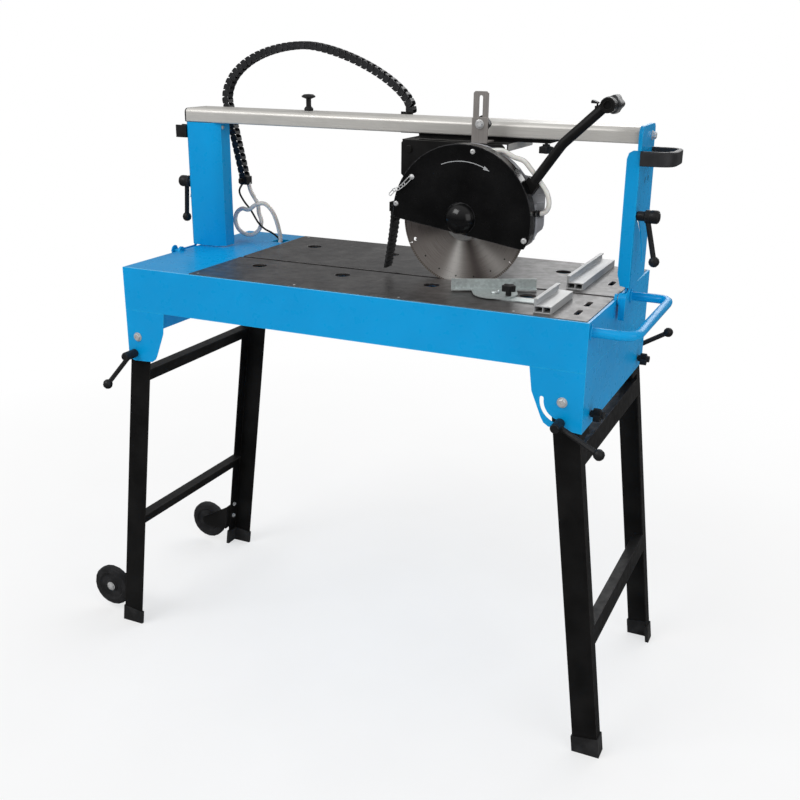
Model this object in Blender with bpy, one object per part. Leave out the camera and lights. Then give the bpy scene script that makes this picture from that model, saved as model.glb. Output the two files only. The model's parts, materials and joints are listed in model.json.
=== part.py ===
"""Wet tile saw with a folding stand, a tilting bridge rail and a sliding, plunging saw head.

Frame: X runs to the right along the rail, Y to the back, Z up. The origin is on the floor under
the middle of the tray. All lengths are metres.
"""

import math

import bmesh
import bpy
from mathutils import Matrix, Vector

# ---------------------------------------------------------------- driving dimensions
GAP = 0.0003                      # running clearance between neighbouring pieces
SHEET = 0.0025                    # sheet steel of the tray and its brackets
BOX_MIDDLE_X = -0.06075           # middle of the whole saw's box, measured from the middle of the tray

TRAY_HALF_X = 0.5875
TRAY_HALF_Y = 0.2855
TRAY_BOTTOM = 0.917
RIM_Z = 1.024
RIM_WIDTH = 0.006
LEDGE_Z = 1.0195                  # shelf that carries the table plates
DECK_EDGE_X = -0.3945             # right edge of the painted deck, left edge of the table opening
TABLE_THICK = 0.006
TABLE_TOP = LEDGE_Z + GAP + TABLE_THICK

BLADE_RADIUS = 0.150
BLADE_X = 0.218
BLADE_Y = -0.048
BLADE_Z = 1.164
BLADE_THICK = 0.0024
SLOT_HALF = 0.007                 # half width of the blade slot between the table plates

TILT_Y = BLADE_Y                  # the bridge tilts about the line where the blade meets the table
TILT_Z = 1.0225
TILT_BOLT_Y = 0.048                # clamp bolt, fixed in the posts of the tray
TILT_BOLT_Z = 1.193
TILT_PIN = 0.005
TILT_MAX = math.radians(45)

RAIL_LEFT = -0.604
RAIL_RIGHT = 0.588
RAIL_Y0 = 0.032
RAIL_Y1 = 0.142
RAIL_Z0 = 1.350
RAIL_Z1 = 1.385
RAIL_WALL = 0.003
RAIL_MID_Y = (RAIL_Y0 + RAIL_Y1) / 2
TRANSPORT_PIN = (-0.272, 0.100)

COLUMN_Y = 0.030                  # front face of both columns
LEFT_WEB_X = -0.607
RIGHT_WEB_X = 0.5905

PLUNGE_X = 0.070                  # axis on which the saw head pivots
PLUNGE_Z = 1.320
GUARD_X = 0.225
GUARD_Z = 1.175
GUARD_RADIUS = 0.168
GUARD_FRONT = -0.092
GUARD_SPLIT = -0.058
DOME_RADIUS = 0.036

DEPTH_X = 0.2415                  # depth stop: slotted plate, link and clamp bolt
LINK_Z = 1.303
DEPTH_BOLT_Z = 1.382

LEFT_PIVOT = (-0.556, 0.849)      # leg pivots, as (x, z)
RIGHT_PIVOT = (0.542, 0.848)
SPLAY = math.radians(7.05)
LEG_HALF = 0.029                  # half width of a leg's broad flange
LEG_THICK = 0.003
LEFT_LEG_Y = 0.277                # outer face of the left pair, which folds inside the right pair
RIGHT_LEG_Y = 0.2827
LEFT_LEG_SIDE = 0.038             # widths of the side flanges
RIGHT_LEG_SIDE = 0.032
SLOT_RADIUS = 0.045               # arc slot of the right leg clamps

WHEEL_X = -0.751
WHEEL_Y = 0.238
WHEEL_Z = 0.074
WHEEL_RADIUS = 0.059
WHEEL_HALF = 0.012

FENCE_X = 0.462
GUIDE_X = 0.337
GUIDE_Y = -0.150
GUIDE_ANGLE = math.radians(26)
GUIDE_KNOB = (0.0262, -0.0284)    # clamp knob, from the pivot, before the arm is turned

COLOURS = {
    "blue_paint": ((0.0, 0.33, 0.76), 0.35, 0.0),
    "black_paint": ((0.012, 0.012, 0.013), 0.35, 0.0),
    "black_plastic": ((0.02, 0.02, 0.022), 0.5, 0.0),
    "rubber": ((0.015, 0.015, 0.016), 0.8, 0.0),
    "aluminium": ((0.75, 0.75, 0.74), 0.35, 1.0),
    "cast_aluminium": ((0.42, 0.43, 0.46), 0.5, 0.8),
    "table_grey": ((0.08, 0.078, 0.08), 0.5, 0.3),
    "steel": ((0.62, 0.6, 0.57), 0.3, 1.0),
    "zinc": ((0.6, 0.66, 0.66), 0.35, 1.0),
    "hose": ((0.8, 0.79, 0.75), 0.3, 0.0),
}


# ---------------------------------------------------------------- modelling helpers
def clear_scene():
    for old in list(bpy.data.objects):
        bpy.data.objects.remove(old, do_unlink=True)


def from_bmesh(name, bm):
    bmesh.ops.recalc_face_normals(bm, faces=bm.faces)
    mesh = bpy.data.meshes.new(name)
    bm.to_mesh(mesh)
    bm.free()
    obj = bpy.data.objects.new(name, mesh)
    bpy.context.scene.collection.objects.link(obj)
    return obj


def boolean(target, tool, operation):
    """Applies an exact Boolean to target and removes the tool."""
    modifier = target.modifiers.new("cut", "BOOLEAN")
    modifier.operation = operation
    modifier.solver = "EXACT"
    modifier.object = tool
    graph = bpy.context.evaluated_depsgraph_get()
    mesh = bpy.data.meshes.new_from_object(target.evaluated_get(graph))
    target.modifiers.clear()
    old = target.data
    target.data = mesh
    bpy.data.meshes.remove(old)
    bpy.data.objects.remove(tool, do_unlink=True)
    return target


def cut(target, *tools):
    for tool in tools:
        boolean(target, tool, "DIFFERENCE")
    return target


def join(target, *tools):
    for tool in tools:
        boolean(target, tool, "UNION")
    return target


def together(parts):
    """Puts separate cutters that don't touch into one mesh, so that one Boolean does them all."""
    bm = bmesh.new()
    for part in parts:
        bm.from_mesh(part.data)
        bpy.data.objects.remove(part, do_unlink=True)
    return from_bmesh("cutters", bm)


def box(low, high, name="box"):
    bm = bmesh.new()
    bmesh.ops.create_cube(bm, size=1.0)
    for vert in bm.verts:
        for axis in range(3):
            middle = (low[axis] + high[axis]) / 2
            vert.co[axis] = middle + vert.co[axis] * (high[axis] - low[axis])
    return from_bmesh(name, bm)


def frame_of(axis):
    """Two directions that span the plane across a main axis, then the axis itself."""
    x, y, z = Vector((1, 0, 0)), Vector((0, 1, 0)), Vector((0, 0, 1))
    return {"x": (y, z, x), "y": (x, z, y), "z": (x, y, z)}[axis]


def prism(points, axis, start, end, name="prism"):
    """Extrudes a closed outline. Its points are (y, z), (x, z) or (x, y), across the axis."""
    u, v, w = frame_of(axis)
    bm = bmesh.new()
    base = [bm.verts.new(u * a + v * b + w * start) for a, b in points]
    face = bm.faces.new(base)
    grown = bmesh.ops.extrude_face_region(bm, geom=[face])
    moved = [item for item in grown["geom"] if isinstance(item, bmesh.types.BMVert)]
    bmesh.ops.translate(bm, verts=moved, vec=w * (end - start))
    return from_bmesh(name, bm)


def arc(centre, radius, start_deg, end_deg, steps):
    """Points on an arc, both ends included."""
    points = []
    for i in range(steps + 1):
        angle = math.radians(start_deg + (end_deg - start_deg) * i / steps)
        point = (centre[0] + radius * math.cos(angle), centre[1] + radius * math.sin(angle))
        points.append(point)
    return points


def circle(centre, radius, steps=24):
    return arc(centre, radius, 0, 360 - 360 / steps, steps - 1)


def cylinder(axis, centre, radius, start, end, steps=16, name="cylinder"):
    return prism(circle(centre, radius, steps), axis, start, end, name)


def turned(axis, centre, profile, steps=16, name="turned"):
    """Revolves a profile of (radius, height) pairs about an axis; ends at radius 0 close it."""
    u, v, w = frame_of(axis)
    origin = u * centre[0] + v * centre[1]
    bm = bmesh.new()
    rings = []
    for radius, height in profile:
        if radius < 1e-6:
            rings.append([bm.verts.new(origin + w * height)])
            continue
        ring = []
        for i in range(steps):
            angle = 2 * math.pi * i / steps
            offset = u * (radius * math.cos(angle)) + v * (radius * math.sin(angle))
            ring.append(bm.verts.new(origin + offset + w * height))
        rings.append(ring)
    closed = profile[0][0] > 1e-6 and profile[-1][0] > 1e-6
    pairs = list(zip(rings, rings[1:]))
    if closed:
        pairs.append((rings[-1], rings[0]))
    for low, high in pairs:
        for i in range(steps):
            j = (i + 1) % steps
            corners = [low[i % len(low)], low[j % len(low)], high[j % len(high)], high[i % len(high)]]
            unique = [c for k, c in enumerate(corners) if c not in corners[:k]]
            if len(unique) > 2:
                bm.faces.new(unique)
    return from_bmesh(name, bm)


def rounded_path(points, radius, steps=6):
    """Replaces each corner of a polyline by an arc of about the given radius."""
    points = [Vector(p) for p in points]
    path = [points[0]]
    for before, corner, after in zip(points, points[1:], points[2:]):
        to_before = (before - corner).normalized()
        to_after = (after - corner).normalized()
        bend = math.pi - to_before.angle(to_after)
        reach = radius * math.tan(bend / 2)
        start = corner + to_before * reach
        end = corner + to_after * reach
        for i in range(steps + 1):
            t = i / steps
            path.append(start * (1 - t) ** 2 + corner * (2 * t * (1 - t)) + end * t * t)
    path.append(points[-1])
    return path


def sweep(path, section, up=Vector((0, 1, 0)), name="sweep"):
    """Sweeps a closed section of (side, up) points along a path, with flat ends."""
    path = [Vector(p) for p in path]
    bm = bmesh.new()
    rings = []
    for i, point in enumerate(path):
        before = path[max(i - 1, 0)]
        after = path[min(i + 1, len(path) - 1)]
        along = (after - before).normalized()
        side = along.cross(up).normalized()
        top = side.cross(along).normalized()
        rings.append([bm.verts.new(point + side * a + top * b) for a, b in section])
    count = len(section)
    for low, high in zip(rings, rings[1:]):
        for i in range(count):
            j = (i + 1) % count
            bm.faces.new((low[i], low[j], high[j], high[i]))
    bm.faces.new(rings[0][::-1])
    bm.faces.new(rings[-1])
    return from_bmesh(name, bm)


def tube(path, radius, steps=16, up=Vector((0, 1, 0)), name="tube"):
    return sweep(path, circle((0, 0), radius, steps), up, name)


def turn(obj, angle, axis, pivot):
    """Turns an object's mesh about a line through pivot."""
    pivot = Vector(pivot)
    rotation = Matrix.Rotation(angle, 4, axis)
    obj.data.transform(Matrix.Translation(pivot) @ rotation @ Matrix.Translation(-pivot))
    return obj


def shift(obj, x=0.0, y=0.0, z=0.0):
    obj.data.transform(Matrix.Translation((x, y, z)))
    return obj


def finish(obj, name, colour, origin=(0, 0, 0), smooth=40):
    """Names the object, gives it its material, and sets its origin and shading."""
    obj.name = name
    obj.data.name = name
    origin = Vector(origin)
    obj.data.transform(Matrix.Translation(-origin))
    obj.location = origin
    base, roughness, metallic = COLOURS[colour]
    material = bpy.data.materials.new(name + "_" + colour)
    material.use_nodes = True
    shader = material.node_tree.nodes["Principled BSDF"]
    shader.inputs["Base Color"].default_value = (*base, 1.0)
    shader.inputs["Roughness"].default_value = roughness
    shader.inputs["Metallic"].default_value = metallic
    obj.data.materials.clear()
    obj.data.materials.append(material)
    obj.data.shade_smooth()
    obj.data.set_sharp_from_angle(angle=math.radians(smooth))
    return obj


def lobed(axis, centre, radius, lobes, depth, start, end, steps=20):
    """A knob head whose rim waves in and out."""
    points = []
    for i in range(steps):
        angle = 2 * math.pi * i / steps
        reach = radius - depth * (0.5 - 0.5 * math.cos(lobes * angle))
        points.append((centre[0] + reach * math.cos(angle), centre[1] + reach * math.sin(angle)))
    return prism(points, axis, start, end)


def sheet_profile(points, thick):
    """A closed outline for a bent sheet: the polyline and its copy set inside by the thickness."""
    inner = []
    for i, point in enumerate(points):
        here = Vector(point)
        before = Vector(points[i - 1]) if i else None
        after = Vector(points[i + 1]) if i + 1 < len(points) else None
        normals = []
        for a, b in ((before, here), (here, after)):
            if a is not None and b is not None:
                run = (b - a).normalized()
                normals.append(Vector((-run.y, run.x)))
        total = sum(normals, Vector((0, 0)))
        total = total / total.dot(normals[0])
        inner.append(tuple(here + total * thick))
    return list(points) + inner[::-1]


# ---------------------------------------------------------------- tray and table
def water_tray():
    x, y = TRAY_HALF_X, TRAY_HALF_Y
    tray = box((-x, -y, TRAY_BOTTOM), (x, y, RIM_Z))
    shelf_under = LEDGE_Z - 0.0025
    inside = box((SHEET - x, SHEET - y, TRAY_BOTTOM + SHEET), (x - SHEET, y - SHEET, shelf_under))
    edge = RIM_WIDTH + 0.0145
    recess = box((DECK_EDGE_X, RIM_WIDTH - y, LEDGE_Z), (x - RIM_WIDTH, y - RIM_WIDTH, RIM_Z + 0.01))
    opening = box((DECK_EDGE_X + 0.0145, edge - y, shelf_under - 0.005), (x - edge, y - edge, RIM_Z))
    cut(tray, inside, recess, opening)
    for rib_x in (-0.10, 0.25):
        for near, far in ((SHEET / 2 - y, BLADE_Y - 0.014), (BLADE_Y + 0.014, y - SHEET / 2)):
            rib = box((rib_x, near, 1.003), (rib_x + 0.004, far, LEDGE_Z - 0.0004))
            join(tray, rib)
    for side in (-1, 1):
        join(tray, tilt_post(side))
    cut(tray, box((-0.441, 0.170, RIM_Z - 0.02), (-0.403, 0.213, RIM_Z + 0.01)))
    cut(tray, cylinder("z", (-0.30, 0.10), 0.012, TRAY_BOTTOM - 0.01, TRAY_BOTTOM + 0.01))
    for side in (-1, 1):
        ends = sorted((side * (x - RIM_WIDTH), side * (x + 0.0005)))
        join(tray, cylinder("x", (TILT_Y, TILT_Z), 0.012, ends[0], ends[1]))
        ends = sorted((side * (x - 0.02), side * (x + 0.02)))
        cut(tray, cylinder("x", (TILT_Y, TILT_Z), TILT_PIN + 0.0004, ends[0], ends[1], 16))
    return finish(tray, "water_tray", "blue_paint")


def tilt_post(side):
    """Fixed upright at an end of the tray; the tilt clamp bolt passes through it."""
    outer = TRAY_HALF_X - 0.0005
    inner = TRAY_HALF_X - 0.0055
    foot = RIM_Z - 0.003
    outline = [(0.041, foot), (0.095, foot), (0.085, 1.045), (0.085, 1.215)]
    outline += [(0.075, 1.225), (0.051, 1.225), (0.041, 1.215)]
    post = prism(outline, "x", min(side * inner, side * outer), max(side * inner, side * outer))
    if side < 0:
        join(post, cylinder("x", (TILT_BOLT_Y, TILT_BOLT_Z), 0.008, -0.6035, -outer + 0.001, 20))
    return cut(post, cylinder("x", (TILT_BOLT_Y, TILT_BOLT_Z), 0.0043, -0.7, 0.7, 16))


def slot_cutter(x, y, half_x, half_y, low, high):
    """A slot with round ends, long in Y."""
    outline = arc((x, y + half_y - half_x), half_x, 0, 180, 6)
    outline += arc((x, y - half_y + half_x), half_x, 180, 360, 6)
    return prism(outline, "z", low, high)


def table_plate(name, y0, y1, holes, slots):
    low, high = LEDGE_Z + GAP, TABLE_TOP
    right = TRAY_HALF_X - RIM_WIDTH - GAP
    plate = box((DECK_EDGE_X + GAP, y0, low), (right, y1, high))
    for x, y in holes:
        cut(plate, cylinder("z", (x, y), 0.019, low - 0.01, high + 0.01, 16))
    for x, y in slots:
        cut(plate, slot_cutter(x, y, 0.006, 0.0225, low - 0.01, high + 0.01))
    return finish(plate, name, "table_grey")


def table_plates():
    edge = TRAY_HALF_Y - RIM_WIDTH - GAP
    columns = (-0.293, -0.060, 0.172, 0.404)
    front_holes = [(x, -0.123) for x in columns]
    front_slots = [(0.545, -0.215), (0.545, -0.135)]
    rear_holes = [(x, 0.155) for x in columns]
    rear_slots = [(0.542, 0.085)]
    table_plate("table_front", -edge, BLADE_Y - SLOT_HALF, front_holes, front_slots)
    table_plate("table_rear", BLADE_Y + SLOT_HALF, edge, rear_holes, rear_slots)


def drain_plug():
    bottom = TRAY_BOTTOM
    profile = [(0, bottom + 0.006), (0.0115, bottom + 0.006), (0.0115, bottom - GAP)]
    profile += [(0.018, bottom - GAP), (0.018, bottom - 0.012), (0.015, bottom - 0.015)]
    profile += [(0, bottom - 0.015)]
    plug = turned("z", (-0.30, 0.10), profile)
    join(plug, box((-0.316, 0.098, bottom - 0.022), (-0.284, 0.102, bottom - 0.014)))
    return finish(plug, "drain_plug", "black_plastic", (-0.30, 0.10, bottom))


def water_pump():
    floor = TRAY_BOTTOM + SHEET + GAP
    outline = [(-0.530, -0.042), (-0.522, -0.050), (-0.468, -0.050), (-0.460, -0.042)]
    outline += [(-0.460, 0.022), (-0.468, 0.030), (-0.522, 0.030), (-0.530, 0.022)]
    pump = prism(outline, "z", floor, floor + 0.066)
    join(pump, cylinder("y", (-0.495, 0.972), 0.0075, 0.020, 0.046, 16))
    return finish(pump, "water_pump", "black_plastic")


def carry_handle():
    z = 1.000
    near, far, reach = -0.262, 0.090, 0.678
    start = TRAY_HALF_X + GAP
    corners = [(start, near, z), (reach, near, z), (reach, far, z), (start, far, z)]
    handle = tube(rounded_path(corners, 0.032, 4), 0.0105, 10, Vector((0, 0, 1)))
    for y in (near, far):
        join(handle, cylinder("x", (y, z), 0.0165, start, start + 0.0022))
    return finish(handle, "carry_handle", "blue_paint")


# ---------------------------------------------------------------- leg brackets
def ear_outline(side):
    """Front view of a leg bracket's ear."""
    top = TRAY_BOTTOM - GAP
    if side < 0:
        return [(-TRAY_HALF_X, top), (-0.472, top), (-0.478, 0.865), (-0.500, 0.808),
                (-0.506, 0.796), (-0.517, 0.788), (-0.570, 0.785), (-0.581, 0.789),
                (-TRAY_HALF_X, 0.800)]
    return [(TRAY_HALF_X, top), (0.467, top), (0.474, 0.864), (0.497, 0.809), (0.504, 0.797),
            (0.515, 0.790), (TRAY_HALF_X, 0.784)]


def leg_bracket(name, side):
    y = TRAY_HALF_Y
    top = TRAY_BOTTOM - GAP
    outer = TRAY_HALF_X
    web_low = 0.784 if side > 0 else 0.832
    web = sorted((side * (outer - SHEET), side * outer))
    flange = sorted((side * (outer - 0.027), side * outer))
    bracket = box((web[0], -y, web_low), (web[1], y, top))
    join(bracket, box((flange[0], -y, top - SHEET), (flange[1], y, top)))
    pivot = RIGHT_PIVOT if side > 0 else LEFT_PIVOT
    for front in (-1, 1):
        faces = sorted((front * (y - SHEET), front * y))
        ear = prism(ear_outline(side), "y", faces[0], faces[1])
        cut(ear, cylinder("y", pivot, 0.0064, faces[0] - 0.01, faces[1] + 0.01, 16))
        if side > 0:
            cut(ear, arc_slot(pivot, SLOT_RADIUS, 176, 274, 0.0046, faces))
        else:
            cut(ear, cylinder("y", (-0.567, 0.806), 0.0046, faces[0] - 0.01, faces[1] + 0.01, 16))
        join(bracket, ear)
        if side > 0:
            hole = (front * 0.225, 0.812)
            cut(bracket, cylinder("x", hole, 0.0046, web[0] - 0.01, web[1] + 0.01, 16))
    return finish(bracket, name, "blue_paint")


def arc_slot(centre, radius, start, end, half, faces):
    """Cutter for a slot that follows an arc, in a plate across Y."""
    outline = arc(centre, radius + half, start, end, 14)
    tip = arc(centre, radius, end, end, 1)[0]
    outline += arc(tip, half, end, end + 180, 6)[1:-1]
    outline += arc(centre, radius - half, end, start, 14)
    tip = arc(centre, radius, start, start, 1)[0]
    outline += arc(tip, half, start + 180, start + 360, 6)[1:-1]
    return prism(outline, "y", faces[0] - 0.01, faces[1] + 0.01)


# ---------------------------------------------------------------- legs, feet and wheels
def leg_values(side):
    """Pivot, offset of the leg's middle line, outer face, side flange width and lean of a pair."""
    if side > 0:
        return RIGHT_PIVOT, 0.0035, RIGHT_LEG_Y, RIGHT_LEG_SIDE, -SPLAY
    return LEFT_PIVOT, 0.004, LEFT_LEG_Y, LEFT_LEG_SIDE, SPLAY


def leg_pair(name, side):
    """Two angle-iron legs, two cross rungs and the pivot studs, welded into one frame."""
    (px, pz), offset, outer_y, width, lean = leg_values(side)
    foot = pz - (pz - 0.007) / math.cos(SPLAY)
    edge = px + offset + side * LEG_HALF
    inner = px + offset - side * LEG_HALF
    skin = edge - side * LEG_THICK
    left, right = min(edge, skin), max(edge, skin)
    frame = None
    for front in (-1, 1):
        face = sorted((front * outer_y, front * (outer_y - LEG_THICK)))
        outline = [(edge, foot), (edge, pz), *arc((px, pz), 0.028, 90 - side * 62, 90 + side * 62, 10)]
        outline += [(inner, pz), (inner, foot)]
        leg = prism(outline, "y", face[0], face[1])
        flange = sorted((front * outer_y, front * (outer_y - width)))
        join(leg, box((left, flange[0], foot), (right, flange[1], pz - 0.005)))
        if side > 0:
            pad = sorted((front * 0.205, front * (outer_y - 0.001)))
            join(leg, box((left, pad[0], pz - 0.090), (right, pad[1], pz - 0.010)))
        pin = sorted((front * (outer_y - 0.008), front * (TRAY_HALF_Y + 0.004)))
        join(leg, cylinder("y", (px, pz), 0.006, pin[0], pin[1], 16))
        frame = leg if frame is None else join(frame, rungs(side), leg)
    turn(frame, lean, "Y", (px, 0, pz))
    if side > 0:
        cut(frame, cylinder("y", stud_place(), 0.0044, -0.4, 0.4, 16))
    return finish(frame, name, "black_paint", (px, 0, pz))


def rungs(side):
    """The upper and lower cross rungs: angle irons between the legs' side flanges."""
    (px, pz), offset, outer_y, width, _ = leg_values(side)
    edge = px + offset + side * LEG_HALF
    reach = outer_y - width + 0.002
    bars = []
    for high in (pz - 0.104, pz - 0.536):
        low = high - 0.045
        skin, shelf = edge - side * LEG_THICK, edge - side * 0.026
        bar = box((min(edge, skin), -reach, low), (max(edge, skin), reach, high))
        join(bar, box((min(edge, shelf), -reach, high - 0.003), (max(edge, shelf), reach, high)))
        bars.append(bar)
    return together(bars)


def stud_place():
    """Where a right leg's clamp stud sits at rest, as (x, z)."""
    return (RIGHT_PIVOT[0] - 0.001, RIGHT_PIVOT[1] - SLOT_RADIUS)


def foot_cap(name, side, front):
    """L-shaped moulded cap pushed on the end of a leg."""
    (px, pz), offset, outer_y, width, lean = leg_values(side)
    out_wall = 0.0027 if side > 0 else 0.0012
    edge = px + offset + side * LEG_HALF
    inner = px + offset - side * LEG_HALF
    skin = edge - side * LEG_THICK

    def outline(wall, out):
        e, i, s = edge + side * wall, inner - side * wall, skin - side * wall
        o, back, deep = outer_y + out, outer_y - LEG_THICK - wall, outer_y - width - wall
        points = [(i, -o), (e, -o), (e, -deep), (s, -deep), (s, -back), (i, -back)]
        return points if front < 0 else [(x, -y) for x, y in points]

    ground = pz - pz / math.cos(SPLAY)
    leg_end = pz - (pz - 0.007) / math.cos(SPLAY)
    cap = prism(outline(0.0027 + GAP, out_wall + GAP), "z", ground - 0.02, ground + 0.043)
    cut(cap, prism(outline(GAP, GAP), "z", leg_end - GAP, ground + 0.1))
    turn(cap, lean, "Y", (px, 0, pz))
    cut(cap, box((-1, -1, -0.2), (1, 1, 0.0)))
    return finish(cap, name, "rubber")


def wheel_bracket(name, front):
    """Bolted bracket with a stub axle for a transport wheel."""
    low, high = 0.060, 0.138
    mount = [(edge_x_at(low) - GAP, low), (edge_x_at(high) - GAP, high)]
    pad = sorted((front * 0.2745, front * 0.2225))
    bracket = prism(mount + [(x - 0.003, z) for x, z in reversed(mount)], "y", pad[0], pad[1])
    arm_y = sorted((front * 0.2225, front * 0.2255))
    outline = [(x - 0.0008, z) for x, z in mount]
    outline += arc((WHEEL_X, WHEEL_Z), 0.017, 100, 265, 8)
    join(bracket, prism(outline, "y", arm_y[0] + 0.0001, arm_y[1] - 0.0001))
    axle = sorted((front * 0.2240, front * 0.2490))
    join(bracket, cylinder("y", (WHEEL_X, WHEEL_Z), 0.006, axle[0], axle[1], 16))
    head = sorted((front * 0.2473, front * 0.2500))
    join(bracket, cylinder("y", (WHEEL_X, WHEEL_Z), 0.010, head[0], head[1], 6))
    return finish(bracket, name, "black_paint")


def edge_x_at(z):
    """Outer edge of a left leg at a height."""
    (px, pz), offset, _, _, _ = leg_values(-1)
    return px + (offset - LEG_HALF) / math.cos(SPLAY) - (pz - z) * math.tan(SPLAY)


def wheel(name, front):
    r, h = WHEEL_RADIUS, WHEEL_HALF
    middle = front * WHEEL_Y
    half = [(0.0063, 0.009), (0.016, 0.009), (0.019, 0.006), (0.036, 0.006), (0.041, h)]
    half += [(r - 0.005, h), (r, 0.006)]
    profile = [(a, middle + b) for a, b in half]
    profile += [(a, middle - b) for a, b in reversed(half)]
    body = turned("y", (WHEEL_X, WHEEL_Z), profile, 20)
    return finish(body, name, "rubber", (WHEEL_X, middle, WHEEL_Z))


# ---------------------------------------------------------------- clamp levers and wing screws
def lever(name, hub, axis, hub_from, hub_to, stud_to, ball, stud_radius=0.004):
    """Clamp lever: a hub on an axis, a threaded stud behind it, and an arm with a ball end."""
    low, high = sorted((hub_from, hub_to))
    body = turned(axis, hub, [(0, low), (0.009, low), (0.011, low + 0.004), (0.011, high - 0.003),
                              (0.009, high), (0, high)], 16)
    stud = sorted((stud_to, hub_from + (0.002 if hub_to > hub_from else -0.002)))
    join(body, cylinder(axis, hub, stud_radius, stud[0], stud[1], 12))
    u, v, w = frame_of(axis)
    root = u * hub[0] + v * hub[1] + w * (hub_to + 0.55 * (hub_from - hub_to))
    end = Vector(ball)
    side_up = w
    arm = sweep([root, root.lerp(end, 0.25), end], circle((0, 0), 0.0062, 8), side_up)
    join(body, arm)
    join(body, ball_end(end, 0.0125))
    return finish(body, name, "black_plastic", u * hub[0] + v * hub[1] + w * stud_to)


def ball_end(centre, radius):
    bm = bmesh.new()
    bmesh.ops.create_uvsphere(bm, u_segments=10, v_segments=6, radius=radius)
    bmesh.ops.translate(bm, verts=bm.verts, vec=centre)
    return from_bmesh("ball", bm)


def leg_clamps():
    ear = TRAY_HALF_Y + GAP
    right = stud_place()
    left = (-0.567, 0.806)
    lever("leg_clamp_front_right", right, "y", -ear, -0.330, -0.2722, (0.639, -0.335, 0.766))
    lever("leg_clamp_rear_right", right, "y", ear, 0.330, 0.2722, (0.639, 0.335, 0.857))
    lever("leg_clamp_front_left", left, "y", -ear, -0.330, -0.2785, (-0.622, -0.335, 0.729))
    lever("leg_clamp_rear_left", left, "y", ear, 0.330, 0.2785, (-0.622, 0.335, 0.729))


def wing_screw(name, front):
    """Three-winged screw that steadies a right leg through the bracket's end web."""
    y, z = front * 0.225, 0.812
    body = cylinder("x", (y, z), 0.004, 0.5801, 0.600, 12)
    join(body, lobed("x", (y, z), 0.017, 3, 0.009, 0.5965, 0.612))
    join(body, cylinder("x", (y, z), 0.008, 0.590, 0.618, 16))
    return finish(body, name, "black_plastic", (0.590, y, z))


# ---------------------------------------------------------------- bridge
def tilt_slot():
    """Arc slot in a column web, which lets the column tilt past the fixed clamp bolt."""
    dy, dz = TILT_BOLT_Y - TILT_Y, TILT_BOLT_Z - TILT_Z
    radius = math.hypot(dy, dz)
    start = math.degrees(math.atan2(dz, dy))
    half = 0.0048
    centre = (TILT_Y, TILT_Z)
    low, high = start - math.degrees(TILT_MAX) - 1.5, start + 1.5
    outline = arc(centre, radius + half, low, high, 12)
    outline += arc(centre, radius - half, high, low, 12)
    return outline


def hinge_arm(drop):
    """Outline, as (y, z), of the arm that runs forward from a column's web to the tilt pin."""
    points = [(COLUMN_Y + 0.0105, TILT_Z), (TILT_Y + 0.0145, TILT_Z)]
    points += arc((TILT_Y, TILT_Z), 0.014, 55, 305, 12)
    points += [(TILT_Y + 0.014, TILT_Z - drop), (COLUMN_Y + 0.006, TILT_Z - drop)]
    return points


def left_column():
    """Folded sheet column with a web that reaches down outside the tray to the tilt pin."""
    right = -0.505
    bends = [(LEFT_WEB_X, 0.085), (LEFT_WEB_X, COLUMN_Y + 0.008), (LEFT_WEB_X + 0.009, COLUMN_Y)]
    bends += [(right - 0.025, COLUMN_Y), (right, COLUMN_Y + 0.015), (right, 0.085)]
    top = RAIL_Z0 - GAP
    shell = prism(sheet_profile(bends, SHEET), "z", RIM_Z + 0.003, top)
    web = [(0.165, 1.032), (0.165, 1.225), (0.150, 1.240), (COLUMN_Y + 0.0105, 1.240)]
    web += hinge_arm(0.020) + [(COLUMN_Y + 0.024, 1.028), (0.130, 1.032)]
    join(shell, prism(web, "x", LEFT_WEB_X - 0.0002, LEFT_WEB_X + SHEET + 0.0002))
    lid = sheet_profile(bends, 0.0012)[:6]
    join(shell, prism([(x * 0.9995, y + 0.0006) for x, y in lid], "z", top - 0.003, top - 0.0004))
    cut(shell, prism(tilt_slot(), "x", LEFT_WEB_X - 0.01, LEFT_WEB_X + 0.01))
    hole = cylinder("x", (TILT_Y, TILT_Z), TILT_PIN + 0.0004, LEFT_WEB_X - 0.01, LEFT_WEB_X + 0.01, 16)
    cut(shell, hole)
    return finish(shell, "left_column", "blue_paint")


def right_column():
    """Folded sheet column whose end web carries the tongue of the tilt hinge."""
    web_low, web_high = RIGHT_WEB_X, RIGHT_WEB_X + 0.003
    outline = [(0.187, 1.034), (0.187, 1.320), (0.171, 1.336), (0.0355, 1.336)]
    outline += hinge_arm(0.018) + [(COLUMN_Y + 0.024, 1.028)]
    column = prism(outline, "x", web_low, web_high)
    flange = [(0.564, 1.060), (0.571, 1.033), (0.5925, 1.030), (0.5925, 1.3355), (0.577, 1.3355)]
    flange += [(0.568, 1.330), (0.564, 1.317)]
    join(column, prism(flange, "y", 0.0348, 0.0378))
    tongue = arc((TILT_Y, 1.0245), 0.012, 0, 180, 8) + arc((TILT_Y, 0.987), 0.012, 180, 360, 8)
    join(column, prism(tongue, "x", web_high - 0.0005, 0.6070))
    cut(column, prism(tilt_slot(), "x", web_low - 0.01, web_high + 0.002))
    cut(column, cylinder("x", (TILT_Y, TILT_Z), TILT_PIN + 0.0004, web_low - 0.01, 0.6030, 16))
    return finish(column, "right_column", "blue_paint")


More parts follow.
